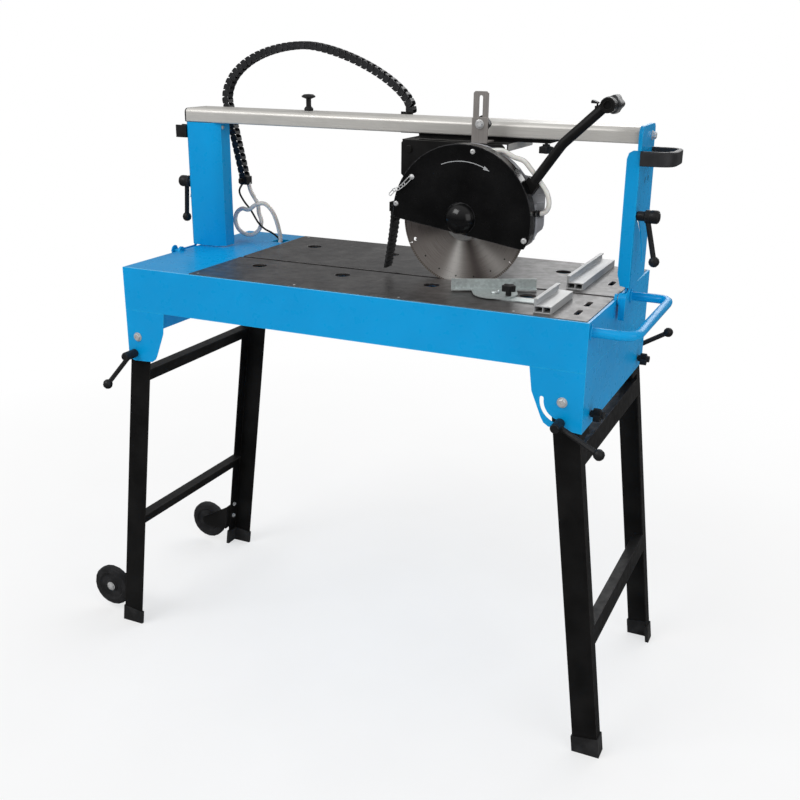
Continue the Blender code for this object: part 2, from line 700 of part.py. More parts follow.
def tilt_pin(name, side):
    """Pin on which one end of the bridge tilts; it passes through the tray's end wall."""
    if side < 0:
        span = (LEFT_WEB_X - 0.004, -TRAY_HALF_X + 0.0055)
        pin = cylinder("x", (TILT_Y, TILT_Z), 0.0090, LEFT_WEB_X - 0.0048, LEFT_WEB_X - 0.0006, 6)
    else:
        span = (TRAY_HALF_X - 0.0055, 0.6025)
        pin = cylinder("x", (TILT_Y, TILT_Z), 0.0090, 0.58835, 0.59015, 16)
    join(pin, cylinder("x", (TILT_Y, TILT_Z), TILT_PIN, span[0], span[1], 16))
    return finish(pin, name, "steel", ((span[0] + span[1]) / 2, TILT_Y, TILT_Z))


def rail_outline(inset, corner_top, corner_low):
    y0, y1 = RAIL_Y0 + inset, RAIL_Y1 - inset
    z0, z1 = RAIL_Z0 + inset, RAIL_Z1 - inset
    points = arc((y0 + corner_low, z0 + corner_low), corner_low, 180, 270, 3)
    points += arc((y1 - corner_low, z0 + corner_low), corner_low, 270, 360, 3)
    points += arc((y1 - corner_top, z1 - corner_top), corner_top, 0, 90, 5)
    points += arc((y0 + corner_top, z1 - corner_top), corner_top, 90, 180, 5)
    return points


def rail_beam():
    """Hollow extrusion, open below along the middle for the carriage hangers."""
    rail = prism(rail_outline(0.0, 0.012, 0.004), "x", RAIL_LEFT, RAIL_RIGHT)
    cut(rail, prism(rail_outline(RAIL_WALL, 0.009, 0.0015), "x", RAIL_LEFT - 0.1, RAIL_RIGHT + 0.1))
    slot_low, slot_high = RAIL_MID_Y - 0.017, RAIL_MID_Y + 0.017
    cut(rail, box((RAIL_LEFT - 0.1, slot_low, RAIL_Z0 - 0.01), (RAIL_RIGHT + 0.1, slot_high, RAIL_Z0 + 0.01)))
    cut(rail, cylinder("z", TRANSPORT_PIN, 0.0053, RAIL_Z1 - 0.01, RAIL_Z1 + 0.01, 16))
    return finish(rail, "rail_beam", "aluminium")


def rail_cap_left():
    cap = prism(rail_outline(0.0, 0.012, 0.004), "x", RAIL_LEFT - 0.004, RAIL_LEFT - GAP)
    join(cap, cylinder("x", (0.052, 1.3635), 0.006, RAIL_LEFT - 0.010, RAIL_LEFT - 0.003, 6))
    return finish(cap, "rail_cap_left", "black_plastic")


def rail_bracket_right():
    """Painted block that closes the rail's right end and stands on the column web."""
    low = 1.336 + GAP
    outline = [(0.026, low), (0.156, low), (0.157, 1.372)]
    outline += arc((0.143, 1.374), 0.014, 0, 90, 4)
    outline += arc((0.045, 1.368), 0.020, 90, 180, 5)
    bracket = prism(outline, "x", RAIL_RIGHT + GAP, 0.5965)
    join(bracket, cylinder("x", (0.128, 1.362), 0.0075, 0.596, 0.605, 6))
    return finish(bracket, "rail_bracket_right", "blue_paint")


def left_grip():
    grip = box((-0.640, 0.033, 1.309), (LEFT_WEB_X - 0.0006, 0.065, 1.341))
    cut(grip, box((-0.643, 0.038, 1.315), (-0.614, 0.060, 1.351)))
    return finish(grip, "left_grip", "black_plastic")


def right_grip():
    """Bow-shaped moulded grip at the right end of the bridge."""
    root, reach, low, high = RIGHT_WEB_X + 0.003 + GAP, 0.662, 1.303, 1.335
    corners = [(root, 0.036, 0), (reach, 0.036, 0), (reach, 0.154, 0), (root, 0.154, 0)]
    half = (high - low) / 2
    section = [(-0.006, -half + 0.002), (-0.004, -half), (0.004, -half), (0.006, -half + 0.002)]
    section += [(0.006, half - 0.002), (0.004, half), (-0.004, half), (-0.006, half - 0.002)]
    bow = sweep(rounded_path(corners, 0.034, 6), section, Vector((0, 0, 1)))
    shift(bow, z=(low + high) / 2)
    return finish(bow, "right_grip", "black_plastic")


def tilt_levers():
    hub = (TILT_BOLT_Y, TILT_BOLT_Z)
    right_face = RIGHT_WEB_X + 0.003 + GAP
    lever("tilt_lever_right", hub, "x", right_face, 0.645, 0.578, (0.640, 0.052, 1.092))
    lever("tilt_lever_left", hub, "x", LEFT_WEB_X - 0.0006, -0.645, -0.578, (-0.640, 0.060, 1.094))


def transport_knob():
    """Mushroom knob on the rail that stops the carriage for transport."""
    top = RAIL_Z1
    profile = [(0, top - 0.005), (0.0048, top - 0.005), (0.0048, top + GAP), (0.011, top + GAP)]
    profile += [(0.012, top + 0.006), (0.009, top + 0.010), (0.0065, top + 0.012)]
    profile += [(0.0065, top + 0.030), (0.017, top + 0.034), (0.018, top + 0.037)]
    profile += [(0.012, top + 0.041), (0, top + 0.042)]
    knob = turned("z", TRANSPORT_PIN, profile, 20)
    return finish(knob, "transport_knob", "black_plastic", (*TRANSPORT_PIN, top))


# ---------------------------------------------------------------- carriage
ROLLER_Z = RAIL_Z0 + RAIL_WALL + GAP + 0.0115
ROLLER_X = (0.100, 0.330)
CARRIAGE_LOCK = (0.375, 0.050)


def carriage():
    """Hangers in the rail's slot, a trolley plate, a channel below it and the pivot lugs."""
    body = box((0.060, 0.045, 1.3402), (0.385, 0.130, 1.3485))
    for x in ROLLER_X:
        hanger = box((x - 0.022, RAIL_MID_Y - 0.012, 1.345), (x + 0.022, RAIL_MID_Y + 0.012, 1.3750))
        join(body, hanger)
        cut(body, cylinder("y", (x, ROLLER_Z), 0.0044, 0.0, 0.2, 16))
    join(body, box((0.050, -0.010, 1.3380), (0.304, 0.170, 1.3410)))
    join(body, box((0.3012, -0.0095, 1.3230), (0.3038, 0.1695, 1.3395)))
    join(body, box((0.0505, -0.0285, 1.3381), (0.0895, 0.000, 1.3409)))
    for y in (-0.0284, 0.0205):
        lug = [(0.0510, 1.3402), (0.0510, 1.3200), *arc((PLUNGE_X, PLUNGE_Z), 0.0165, 190, 350, 10)]
        lug += [(0.0890, 1.3200), (0.0890, 1.3402)]
        join(body, prism(lug, "y", y, y + 0.0045))
    cut(body, cylinder("y", (PLUNGE_X, PLUNGE_Z), 0.0084, -0.04, 0.03, 20))
    join(body, box((0.0510, 0.1465, 1.3385), (0.0600, 0.1690, 1.3420)))
    join(body, box((-0.035, 0.147, 1.3388), (0.0595, 0.150, 1.3660)))
    join(body, box((-0.035, 0.147, 1.3650), (-0.003, 0.150, 1.3900)))
    cut(body, cylinder("z", CARRIAGE_LOCK, 0.0043, 1.33, 1.36, 16))
    return finish(body, "carriage", "black_paint", (0.220, RAIL_MID_Y, 1.345))


def roller_set(name, x):
    """Two rollers on a common shaft, running inside the rail."""
    shaft = cylinder("y", (x, ROLLER_Z), 0.0040, 0.0390, 0.1350, 16)
    for y0, y1 in ((0.0400, 0.0620), (0.1120, 0.1340)):
        join(shaft, cylinder("y", (x, ROLLER_Z), 0.0115, y0, y1, 24))
    return finish(shaft, name, "steel", (x, RAIL_MID_Y, ROLLER_Z))


def carriage_lock_knob():
    centre = CARRIAGE_LOCK
    knob = cylinder("z", centre, 0.0038, 1.3300, 1.3480, 12)
    join(knob, lobed("z", centre, 0.0170, 5, 0.005, 1.3180, 1.3330))
    join(knob, cylinder("z", centre, 0.0085, 1.3320, 1.3380, 16))
    return finish(knob, "carriage_lock_knob", "black_plastic", (*centre, 1.3300))


def depth_slot_plate():
    """Upright slotted plate on the carriage; the clamp bolt runs in its slot."""
    x0, x1 = DEPTH_X - 0.018, DEPTH_X + 0.018
    top = 1.453
    outline = [(x0, 1.3413), (x1, 1.3413), (x1, top - 0.004), (x1 - 0.004, top)]
    outline += [(x0 + 0.004, top), (x0, top - 0.004)]
    plate = prism(outline, "y", -0.0256, -0.0226)
    join(plate, box((x0 + 0.0003, -0.0250, 1.3414), (x1 - 0.0003, 0.0200, 1.3443)))
    half = 0.0045
    slot = arc((DEPTH_X, 1.4400), half, 0, 180, 6) + arc((DEPTH_X, 1.3780), half, 180, 360, 6)
    cut(plate, prism(slot, "y", -0.03, -0.02))
    return finish(plate, "depth_slot_plate", "steel")


# ---------------------------------------------------------------- saw head
def depth_link():
    """Plate pivoted on the head that carries the clamp bolt up and down the slot."""
    x = DEPTH_X
    outline = arc((x, LINK_Z), 0.012, 180, 360, 8)
    outline += [(x + 0.019, 1.335), (x + 0.019, 1.394), (x + 0.016, 1.397), (x - 0.016, 1.397)]
    outline += [(x - 0.019, 1.394), (x - 0.019, 1.335)]
    link = prism(outline, "y", -0.0289, -0.0259)
    cut(link, cylinder("y", (x, LINK_Z), 0.0044, -0.04, -0.02, 16))
    cut(link, cylinder("y", (x, DEPTH_BOLT_Z), 0.0034, -0.04, -0.02, 16))
    return finish(link, "depth_link", "steel", (x, -0.0274, LINK_Z))


def depth_knob():
    centre = (DEPTH_X, DEPTH_BOLT_Z)
    knob = cylinder("y", centre, 0.0030, -0.0300, -0.0200, 12)
    join(knob, cylinder("y", centre, 0.0075, -0.0345, -0.0292, 6))
    join(knob, lobed("y", centre, 0.0205, 5, 0.004, -0.0223, -0.0040))
    return finish(knob, "depth_knob", "black_plastic", (centre[0], -0.0223, centre[1]))


def head_arm():
    """Black plate that carries the motor and guard, with its pivot pin and the link's stud."""
    outline = [(0.050, 1.262), (0.058, 1.254), (0.152, 1.254), (0.152, BLADE_Z)]
    outline += arc((BLADE_X, BLADE_Z), 0.046, 180, 360, 12)
    outline += [(0.284, BLADE_Z), (0.284, 1.254), (0.296, 1.254), (0.304, 1.262)]
    outline += [(0.304, 1.3335), (0.297, 1.3405), (0.057, 1.3405), (0.050, 1.3335)]
    arm = prism(outline, "y", -0.0332, -0.0292)
    cut(arm, cylinder("y", (BLADE_X, BLADE_Z), 0.0200, -0.05, 0.0, 24))
    join(arm, cylinder("y", (PLUNGE_X, PLUNGE_Z), 0.0080, -0.0375, 0.0300, 16))
    join(arm, cylinder("y", (DEPTH_X, LINK_Z), 0.0040, -0.0300, -0.0259, 12))
    return finish(arm, "head_arm", "black_paint", (PLUNGE_X, -0.0312, PLUNGE_Z))


def guard_outline(radius, grow=0.0):
    """Front view of the blade guard: a big arc over a sloping lower edge."""
    points = arc((GUARD_X, GUARD_Z), radius, -12, 180, 34)
    points += [(GUARD_X - radius, 1.1735 - grow), (0.062, 1.169 - grow)]
    points += [(0.300, 1.1315 - grow), (0.368, 1.1205 - grow), (0.379, 1.1215 - grow)]
    return points


def guard_cover():
    """Front half of the guard: a pan, open behind, with a domed boss."""
    cover = prism(guard_outline(GUARD_RADIUS), "y", GUARD_FRONT, GUARD_SPLIT)
    hollow = prism(guard_outline(GUARD_RADIUS - 0.0025, 0.006), "y", GUARD_FRONT + 0.002, GUARD_SPLIT + 0.01)
    cut(cover, hollow)
    boss = []
    for i in range(7):
        angle = math.radians(90 * i / 6)
        boss.append((DOME_RADIUS * math.sin(angle), GUARD_FRONT - 0.026 * math.cos(angle)))
    boss[0] = (0, boss[0][1])
    boss += [(DOME_RADIUS, GUARD_FRONT + 0.001), (0, GUARD_FRONT + 0.001)]
    join(cover, turned("y", (0.2255, 1.178), boss, 24))
    return finish(cover, "guard_cover", "black_paint")


def guard_rear_shell():
    """Cast rear half of the guard, with the lobe that carries the handle."""
    back, face = -0.0335, -0.0375
    outline = arc((GUARD_X, GUARD_Z), 0.166, 38, 180, 22)
    outline += [(0.060, 1.172), (0.368, 1.1245), (0.379, 1.1275), (0.391, 1.150), (0.402, 1.160)]
    outline += [(0.405, 1.170), (0.405, 1.245), (0.401, 1.260), (0.390, 1.270), (0.370, 1.275)]
    plate = prism(outline, "y", face, back)
    rim = arc((GUARD_X, GUARD_Z), 0.1655, 44, 178, 22) + arc((GUARD_X, GUARD_Z), 0.160, 178, 44, 22)
    join(plate, prism(rim, "y", GUARD_SPLIT + GAP, face + 0.001))
    low_rim = arc((GUARD_X, GUARD_Z), 0.1655, -14, 14, 6) + arc((GUARD_X, GUARD_Z), 0.160, 14, -14, 6)
    join(plate, prism(low_rim, "y", GUARD_SPLIT + GAP, face + 0.001))
    cut(plate, cylinder("y", (BLADE_X, BLADE_Z), 0.0200, -0.05, 0.0, 24))
    return finish(plate, "guard_rear_shell", "cast_aluminium")


def motor():
    start = -0.0289
    profile = [(0, start), (0.046, start), (0.048, start + 0.003), (0.048, -0.013)]
    profile += [(0.066, -0.006), (0.072, 0.002), (0.072, 0.150), (0.069, 0.153), (0.069, 0.196)]
    profile += [(0.060, 0.205), (0, 0.205)]
    centre = (BLADE_X, BLADE_Z)
    body = turned("y", centre, profile, 24)
    cut(body, cylinder("y", centre, 0.0134, start - 0.01, -0.0040, 20))
    terminal = box((BLADE_X + 0.012, 0.040, BLADE_Z + 0.060), (BLADE_X + 0.066, 0.120, BLADE_Z + 0.092))
    join(body, terminal)
    return finish(body, "motor", "cast_aluminium")


def blade():
    """Segmented rim disc with expansion slots, a bore and drive holes."""
    near, far = BLADE_Y - BLADE_THICK / 2, BLADE_Y + BLADE_THICK / 2
    profile = [(0.0127, near), (BLADE_RADIUS, near), (BLADE_RADIUS, far), (0.0127, far)]
    disc = turned("y", (BLADE_X, BLADE_Z), profile, 48)
    cutters = []
    for i in range(12):
        slit = box((0.1405, -0.1, -0.0010), (0.160, 0.0, 0.0010))
        turn(slit, math.radians(30 * i + 5.6), "Y", (0, 0, 0))
        cutters.append(shift(slit, x=BLADE_X, z=BLADE_Z))
    for turn_deg, reach, radius in blade_holes():
        angle = math.radians(turn_deg)
        centre = (BLADE_X + reach * math.cos(angle), BLADE_Z + reach * math.sin(angle))
        cutters.append(cylinder("y", centre, radius, -0.1, 0.0, 10))
    cut(disc, together(cutters))
    return finish(disc, "blade", "steel", (BLADE_X, BLADE_Y, BLADE_Z))


def blade_holes():
    """Angle in degrees, distance from the axis and radius of each hole in the blade."""
    return [(202.4, 0.1315, 0.0045), (22.4, 0.1315, 0.0045)]


def arbor():
    """Shaft, two flanges and the nut that hold the blade."""
    inner = BLADE_Y + BLADE_THICK / 2 + GAP
    outer = BLADE_Y - BLADE_THICK / 2 - GAP
    profile = [(0, -0.006), (0.0122, -0.006), (0.0122, inner + 0.006), (0.042, inner + 0.0045)]
    profile += [(0.045, inner), (0.0122, inner), (0.0122, outer), (0.045, outer)]
    profile += [(0.042, outer - 0.006), (0.017, outer - 0.006), (0.017, outer - 0.018)]
    profile += [(0.009, outer - 0.018), (0.009, outer - 0.024), (0, outer - 0.024)]
    shaft = turned("y", (BLADE_X, BLADE_Z), profile[::-1], 24)
    return finish(shaft, "arbor", "steel", (BLADE_X, BLADE_Y, BLADE_Z))


GRIP_X, GRIP_Z = 0.5370, 1.4345
SWITCH_X = 0.5115


def handle_tube():
    """Clamp block on the guard, bent tube and the cross bar inside the grip."""
    y = -0.0492
    knee = (0.4415, y, 1.3500)
    path = rounded_path([(0.3815, y, 1.2650), knee, (0.5250, y, 1.4280)], 0.07, 6)
    handle = tube(path, 0.0112, 12)
    block = box((0.3570, -0.0575, 1.2330), (0.3870, -0.0378, 1.2710))
    turn(block, math.radians(36), "Y", (0.372, y, 1.252))
    join(handle, block)
    join(handle, cylinder("y", (GRIP_X, GRIP_Z), 0.0100, -0.0620, 0.0140, 16))
    collar = [(0.0090, -0.066), (0.0145, -0.066), (0.0165, -0.064), (0.0165, -0.040)]
    collar += [(0.0090, -0.040)]
    join(handle, turned("y", (GRIP_X, GRIP_Z), collar, 20))
    join(handle, box((0.5080, -0.0560, 1.4160), (0.5250, -0.0400, 1.4320)))
    cut(handle, cylinder("z", (SWITCH_X, -0.0480), 0.0024, 1.4260, 1.4450, 12))
    return finish(handle, "handle_tube", "black_paint")


def hand_grip():
    """Moulded sleeve with finger lobes."""
    rows = [(-0.0330, 0.0175), (-0.0290, 0.0205), (-0.010, 0.0210), (0.008, 0.0205), (0.012, 0.0175)]
    steps = 30
    bm = bmesh.new()
    rings = []
    for y, radius in rows:
        ring = []
        for i in range(steps):
            angle = 2 * math.pi * i / steps
            reach = radius - 0.0035 * (0.5 - 0.5 * math.cos(5 * angle))
            x = GRIP_X + reach * math.cos(angle)
            z = GRIP_Z + reach * math.sin(angle)
            ring.append(bm.verts.new((x, y, z)))
        rings.append(ring)
    for low, high in zip(rings, rings[1:]):
        for i in range(steps):
            j = (i + 1) % steps
            bm.faces.new((low[i], low[j], high[j], high[i]))
    bm.faces.new(rings[0][::-1])
    bm.faces.new(rings[-1])
    sleeve = from_bmesh("grip", bm)
    cut(sleeve, cylinder("y", (GRIP_X, GRIP_Z), 0.0104, -0.1, 0.2, 20))
    return finish(sleeve, "hand_grip", "black_plastic")


def switch_lever():
    """Small paddle that works the motor switch."""
    x = SWITCH_X
    outline = [(x - 0.0115, 1.4370), (x + 0.0022, 1.4365), (x + 0.0022, 1.4390)]
    outline += [(x - 0.0020, 1.4410), (x - 0.0105, 1.4440), (x - 0.0125, 1.4400)]
    paddle = prism(outline, "y", -0.0560, -0.0400)
    join(paddle, cylinder("z", (x, -0.0480), 0.0019, 1.4285, 1.4375, 12))
    return finish(paddle, "switch_lever", "black_plastic", (x, -0.048, 1.4365))


def splash_flap():
    """Ribbed rubber flap behind the blade."""
    middle = [(0.0505, 1.190), (0.0490, 1.160), (0.0440, 1.120), (0.0375, 1.080), (0.0310, 1.044)]
    points = [(x + 0.0048, z) for x, z in middle] + [(x - 0.0048, z) for x, z in reversed(middle)]
    flap = prism(points, "y", -0.0825, -0.0385)
    return finish(flap, "splash_flap", "rubber")


# ---------------------------------------------------------------- hoses and cable chain
def chain_path(inset):
    """Middle line of the cable chain, from the left column over the rail to the carriage."""
    apex_x, foot_z, rise = -0.310, 1.400, 0.154
    path = [(-0.514, 1.190), (-0.532, 1.270), (-0.550, 1.350)]
    steps = 9
    for side, reach, power in ((-1, 0.262, 2.0), (1, 0.306, 1.5)):
        for i in range(steps + 1):
            angle = math.radians(90 * i / steps)
            t = math.cos(angle) if side < 0 else math.sin(angle)
            if side > 0 and i == 0:
                continue
            height = max(1 - t ** power, 0.0) ** (1 / power)
            path.append((apex_x + side * (reach - inset) * t, foot_z + (rise - inset) * height))
    return path + [(path[-1][0], 1.389)]


def cable_chain():
    half, wide, y = 0.0105, 0.0125, 0.1650
    section = [(-half, -wide), (half, -wide), (half, wide), (-half, wide)]
    path = [(x, y, z) for x, z in chain_path(half)]
    chain = sweep(path, section)
    return finish(chain, "cable_chain", "black_plastic")


def supply_hose():
    """Water hose: from the cable chain, round one loop, down through the deck to the pump."""
    centre, radius = (-0.505, 1.077), 0.038
    path = [(-0.508, 0.168, 1.1890), (-0.500, 0.168, 1.160), (-0.480, 0.168, 1.128)]
    turns = 18
    for i in range(turns + 1):
        angle = math.radians(40 - 330 * i / turns)
        y = 0.168 - 0.026 * i / turns
        path.append((centre[0] + radius * math.cos(angle), y, centre[1] + radius * math.sin(angle)))
    path += [(-0.468, 0.144, 1.128), (-0.445, 0.152, 1.130), (-0.427, 0.164, 1.105)]
    path += [(-0.421, 0.180, 1.060), (-0.424, 0.190, 1.020), (-0.440, 0.165, 0.992)]
    path += [(-0.480, 0.100, 0.976), (-0.495, 0.065, 0.972), (-0.495, 0.0465, 0.972)]
    hose = tube(path, 0.0048, 6, Vector((0.12, 0.95, 0.25)))
    return finish(hose, "supply_hose", "hose")


# ---------------------------------------------------------------- fences and angle guide
def fence(name, y0, y1):
    """Aluminium fence: a two-chamber base with an upright wall and a lip."""
    x, low = FENCE_X, TABLE_TOP + GAP
    outline = [(x, low), (x + 0.038, low), (x + 0.038, low + 0.0160), (x + 0.0060, low + 0.0165)]
    outline += [(x + 0.0045, low + 0.0270), (x + 0.0085, low + 0.0275), (x + 0.0085, low + 0.0308)]
    outline += [(x, low + 0.0308)]
    bar = prism(outline, "y", y0, y1)
    chambers = []
    for left, right in ((0.0025, 0.0185), (0.0205, 0.0358)):
        chambers.append(box((x + left, y0 - 0.01, low + 0.0025), (x + right, y1 + 0.01, low + 0.0135)))
    cut(bar, together(chambers))
    return finish(bar, name, "aluminium")


def guide_base():
    """Flat bar of the angle guide that slides along the front fence."""
    low = TABLE_TOP + GAP
    high = low + 0.0025
    outline = [(0.352, -0.190), (FENCE_X - 0.0005, -0.190), (FENCE_X - 0.0005, -0.155), (0.352, -0.155)]
    outline += arc((GUIDE_X, GUIDE_Y), 0.015, 30, 250, 8)
    bar = prism(outline, "z", low, high)
    join(bar, cylinder("z", (GUIDE_X, GUIDE_Y), 0.0042, low + 0.001, high + 0.004, 12))
    join(bar, box((FENCE_X - 0.0035, -0.196, low + 0.0001), (FENCE_X - 0.0006, -0.149, low + 0.0145)))
    head = [(0, high + 0.0100), (0.006, high + 0.0092), (0.0100, high + 0.0065), (0.0110, high + 0.0035)]
    head += [(0, high + 0.0035)]
    join(bar, turned("z", (GUIDE_X, GUIDE_Y), head, 16))
    return finish(bar, "guide_base", "zinc", (GUIDE_X, GUIDE_Y, low))


def guide_arm():
    """Bent strip with a sector plate; it swings on the guide base to set the angle."""
    low = TABLE_TOP + 2 * GAP + 0.0025
    high = low + 0.0025
    back, front = 0.046, 0.030
    outline = [(-0.095, back), (-0.095, front), (-0.050, front), *arc((0, 0), 0.050, 190, 350, 12)]
    outline += [(0.050, front), (0.098, front), (0.098, back)]
    plate = prism(outline, "z", low, high)
    join(plate, box((-0.0949, back - 0.0025, low + 0.0001), (0.0979, back - 0.0001, low + 0.0240)))
    cut(plate, cylinder("z", (0, 0), 0.0048, low - 0.01, high + 0.01, 16))
    cut(plate, cylinder("z", GUIDE_KNOB, 0.0036, low - 0.01, high + 0.01, 12))
    turn(plate, GUIDE_ANGLE, "Z", (0, 0, 0))
    shift(plate, GUIDE_X, GUIDE_Y)
    return finish(plate, "guide_arm", "zinc", (GUIDE_X, GUIDE_Y, low))


def guide_knob_place():
    x, y = GUIDE_KNOB
    return (GUIDE_X + x * math.cos(GUIDE_ANGLE) - y * math.sin(GUIDE_ANGLE),
            GUIDE_Y + x * math.sin(GUIDE_ANGLE) + y * math.cos(GUIDE_ANGLE))


def guide_knob():
    low = TABLE_TOP + 3 * GAP + 0.0050
    centre = guide_knob_place()
    knob = cylinder("z", centre, 0.0032, low - 0.0022, low + 0.003, 12)
    join(knob, cylinder("z", centre, 0.0065, low, low + 0.0130, 16))
    join(knob, lobed("z", centre, 0.0160, 5, 0.005, low + 0.0100, low + 0.0235))
    return finish(knob, "guide_knob", "black_plastic", (centre[0], centre[1], low))


# ---------------------------------------------------------------- assembly
def build_base():
    water_tray()
    table_plates()
    drain_plug()
    water_pump()
    carry_handle()
    leg_bracket("left_leg_bracket", -1)
    leg_bracket("right_leg_bracket", 1)
    fence("fence_front", -0.262, -0.100)
    fence("fence_rear", -0.020, 0.278)
    supply_hose()


def build_stand():
    leg_pair("left_leg_frame", -1)
    leg_pair("right_leg_frame", 1)
    for side, label in ((-1, "left"), (1, "right")):
        for front, end in ((-1, "front"), (1, "rear")):
            foot_cap(label + "_" + end + "_foot", side, front)
    for front, end in ((-1, "front"), (1, "rear")):
        wheel_bracket(end + "_wheel_bracket", front)
        wheel(end + "_wheel", front)
        wing_screw(end + "_wing_screw", front)
    leg_clamps()


def build_bridge():
    left_column()
    right_column()
    tilt_pin("tilt_pin_left", -1)
    tilt_pin("tilt_pin_right", 1)
    rail_beam()
    rail_cap_left()
    rail_bracket_right()
    left_grip()
    right_grip()
    tilt_levers()
    transport_knob()
    cable_chain()


def build_carriage():
    carriage()
    for label, x in zip(("left", "right"), ROLLER_X):
        roller_set(label + "_roller_set", x)
    carriage_lock_knob()
    depth_slot_plate()


def build_head():
    head_arm()
    guard_rear_shell()
    guard_cover()
    motor()
    arbor()
    blade()
    handle_tube()
    hand_grip()
    switch_lever()
    splash_flap()
    depth_link()
    depth_knob()


def build_guide():
    guide_base()
    guide_arm()
    guide_knob()


def stand_on_origin():
    """Moves the saw so that the origin is on the floor under the middle of its box."""
    for obj in bpy.data.objects:
        obj.location.x -= BOX_MIDDLE_X


clear_scene()
build_base()
build_stand()
build_bridge()
build_carriage()
build_head()
build_guide()
stand_on_origin()
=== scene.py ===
"""Looks of a wet tile saw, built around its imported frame."""

import json
import math

import bmesh
import bpy
from mathutils import Matrix, Vector

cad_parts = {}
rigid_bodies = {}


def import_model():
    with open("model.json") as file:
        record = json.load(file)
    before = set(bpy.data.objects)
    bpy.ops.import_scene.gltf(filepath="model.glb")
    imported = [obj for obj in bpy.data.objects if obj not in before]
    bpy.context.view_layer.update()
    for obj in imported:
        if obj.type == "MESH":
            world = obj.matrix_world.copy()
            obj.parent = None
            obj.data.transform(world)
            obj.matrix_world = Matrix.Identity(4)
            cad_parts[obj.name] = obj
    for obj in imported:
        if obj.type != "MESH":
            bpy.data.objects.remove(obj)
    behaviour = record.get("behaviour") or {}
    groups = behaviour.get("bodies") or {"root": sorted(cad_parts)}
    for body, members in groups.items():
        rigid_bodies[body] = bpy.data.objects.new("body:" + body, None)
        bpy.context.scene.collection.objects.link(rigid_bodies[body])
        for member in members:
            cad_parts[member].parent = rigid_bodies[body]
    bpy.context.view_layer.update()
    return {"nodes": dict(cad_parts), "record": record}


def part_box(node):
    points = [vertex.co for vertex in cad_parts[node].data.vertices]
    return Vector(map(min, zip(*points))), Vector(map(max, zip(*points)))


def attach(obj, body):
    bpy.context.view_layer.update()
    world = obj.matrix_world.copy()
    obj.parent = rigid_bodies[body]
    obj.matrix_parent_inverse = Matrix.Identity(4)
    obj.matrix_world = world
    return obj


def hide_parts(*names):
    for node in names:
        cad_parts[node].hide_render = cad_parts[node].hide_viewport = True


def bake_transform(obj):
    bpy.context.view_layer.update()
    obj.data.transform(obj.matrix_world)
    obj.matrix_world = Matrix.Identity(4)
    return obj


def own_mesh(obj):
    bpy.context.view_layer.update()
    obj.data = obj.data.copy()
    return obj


for leftover in list(bpy.data.objects):
    bpy.data.objects.remove(leftover)

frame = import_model()

TAU = 2 * math.pi
SHARP_ANGLE = math.radians(40)
# The tray's middle, in the row frame. Every place below is measured from it.
RAIL_START = -0.604
MIDDLE = Vector((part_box("rail_beam")[0].x - RAIL_START, 0, 0))


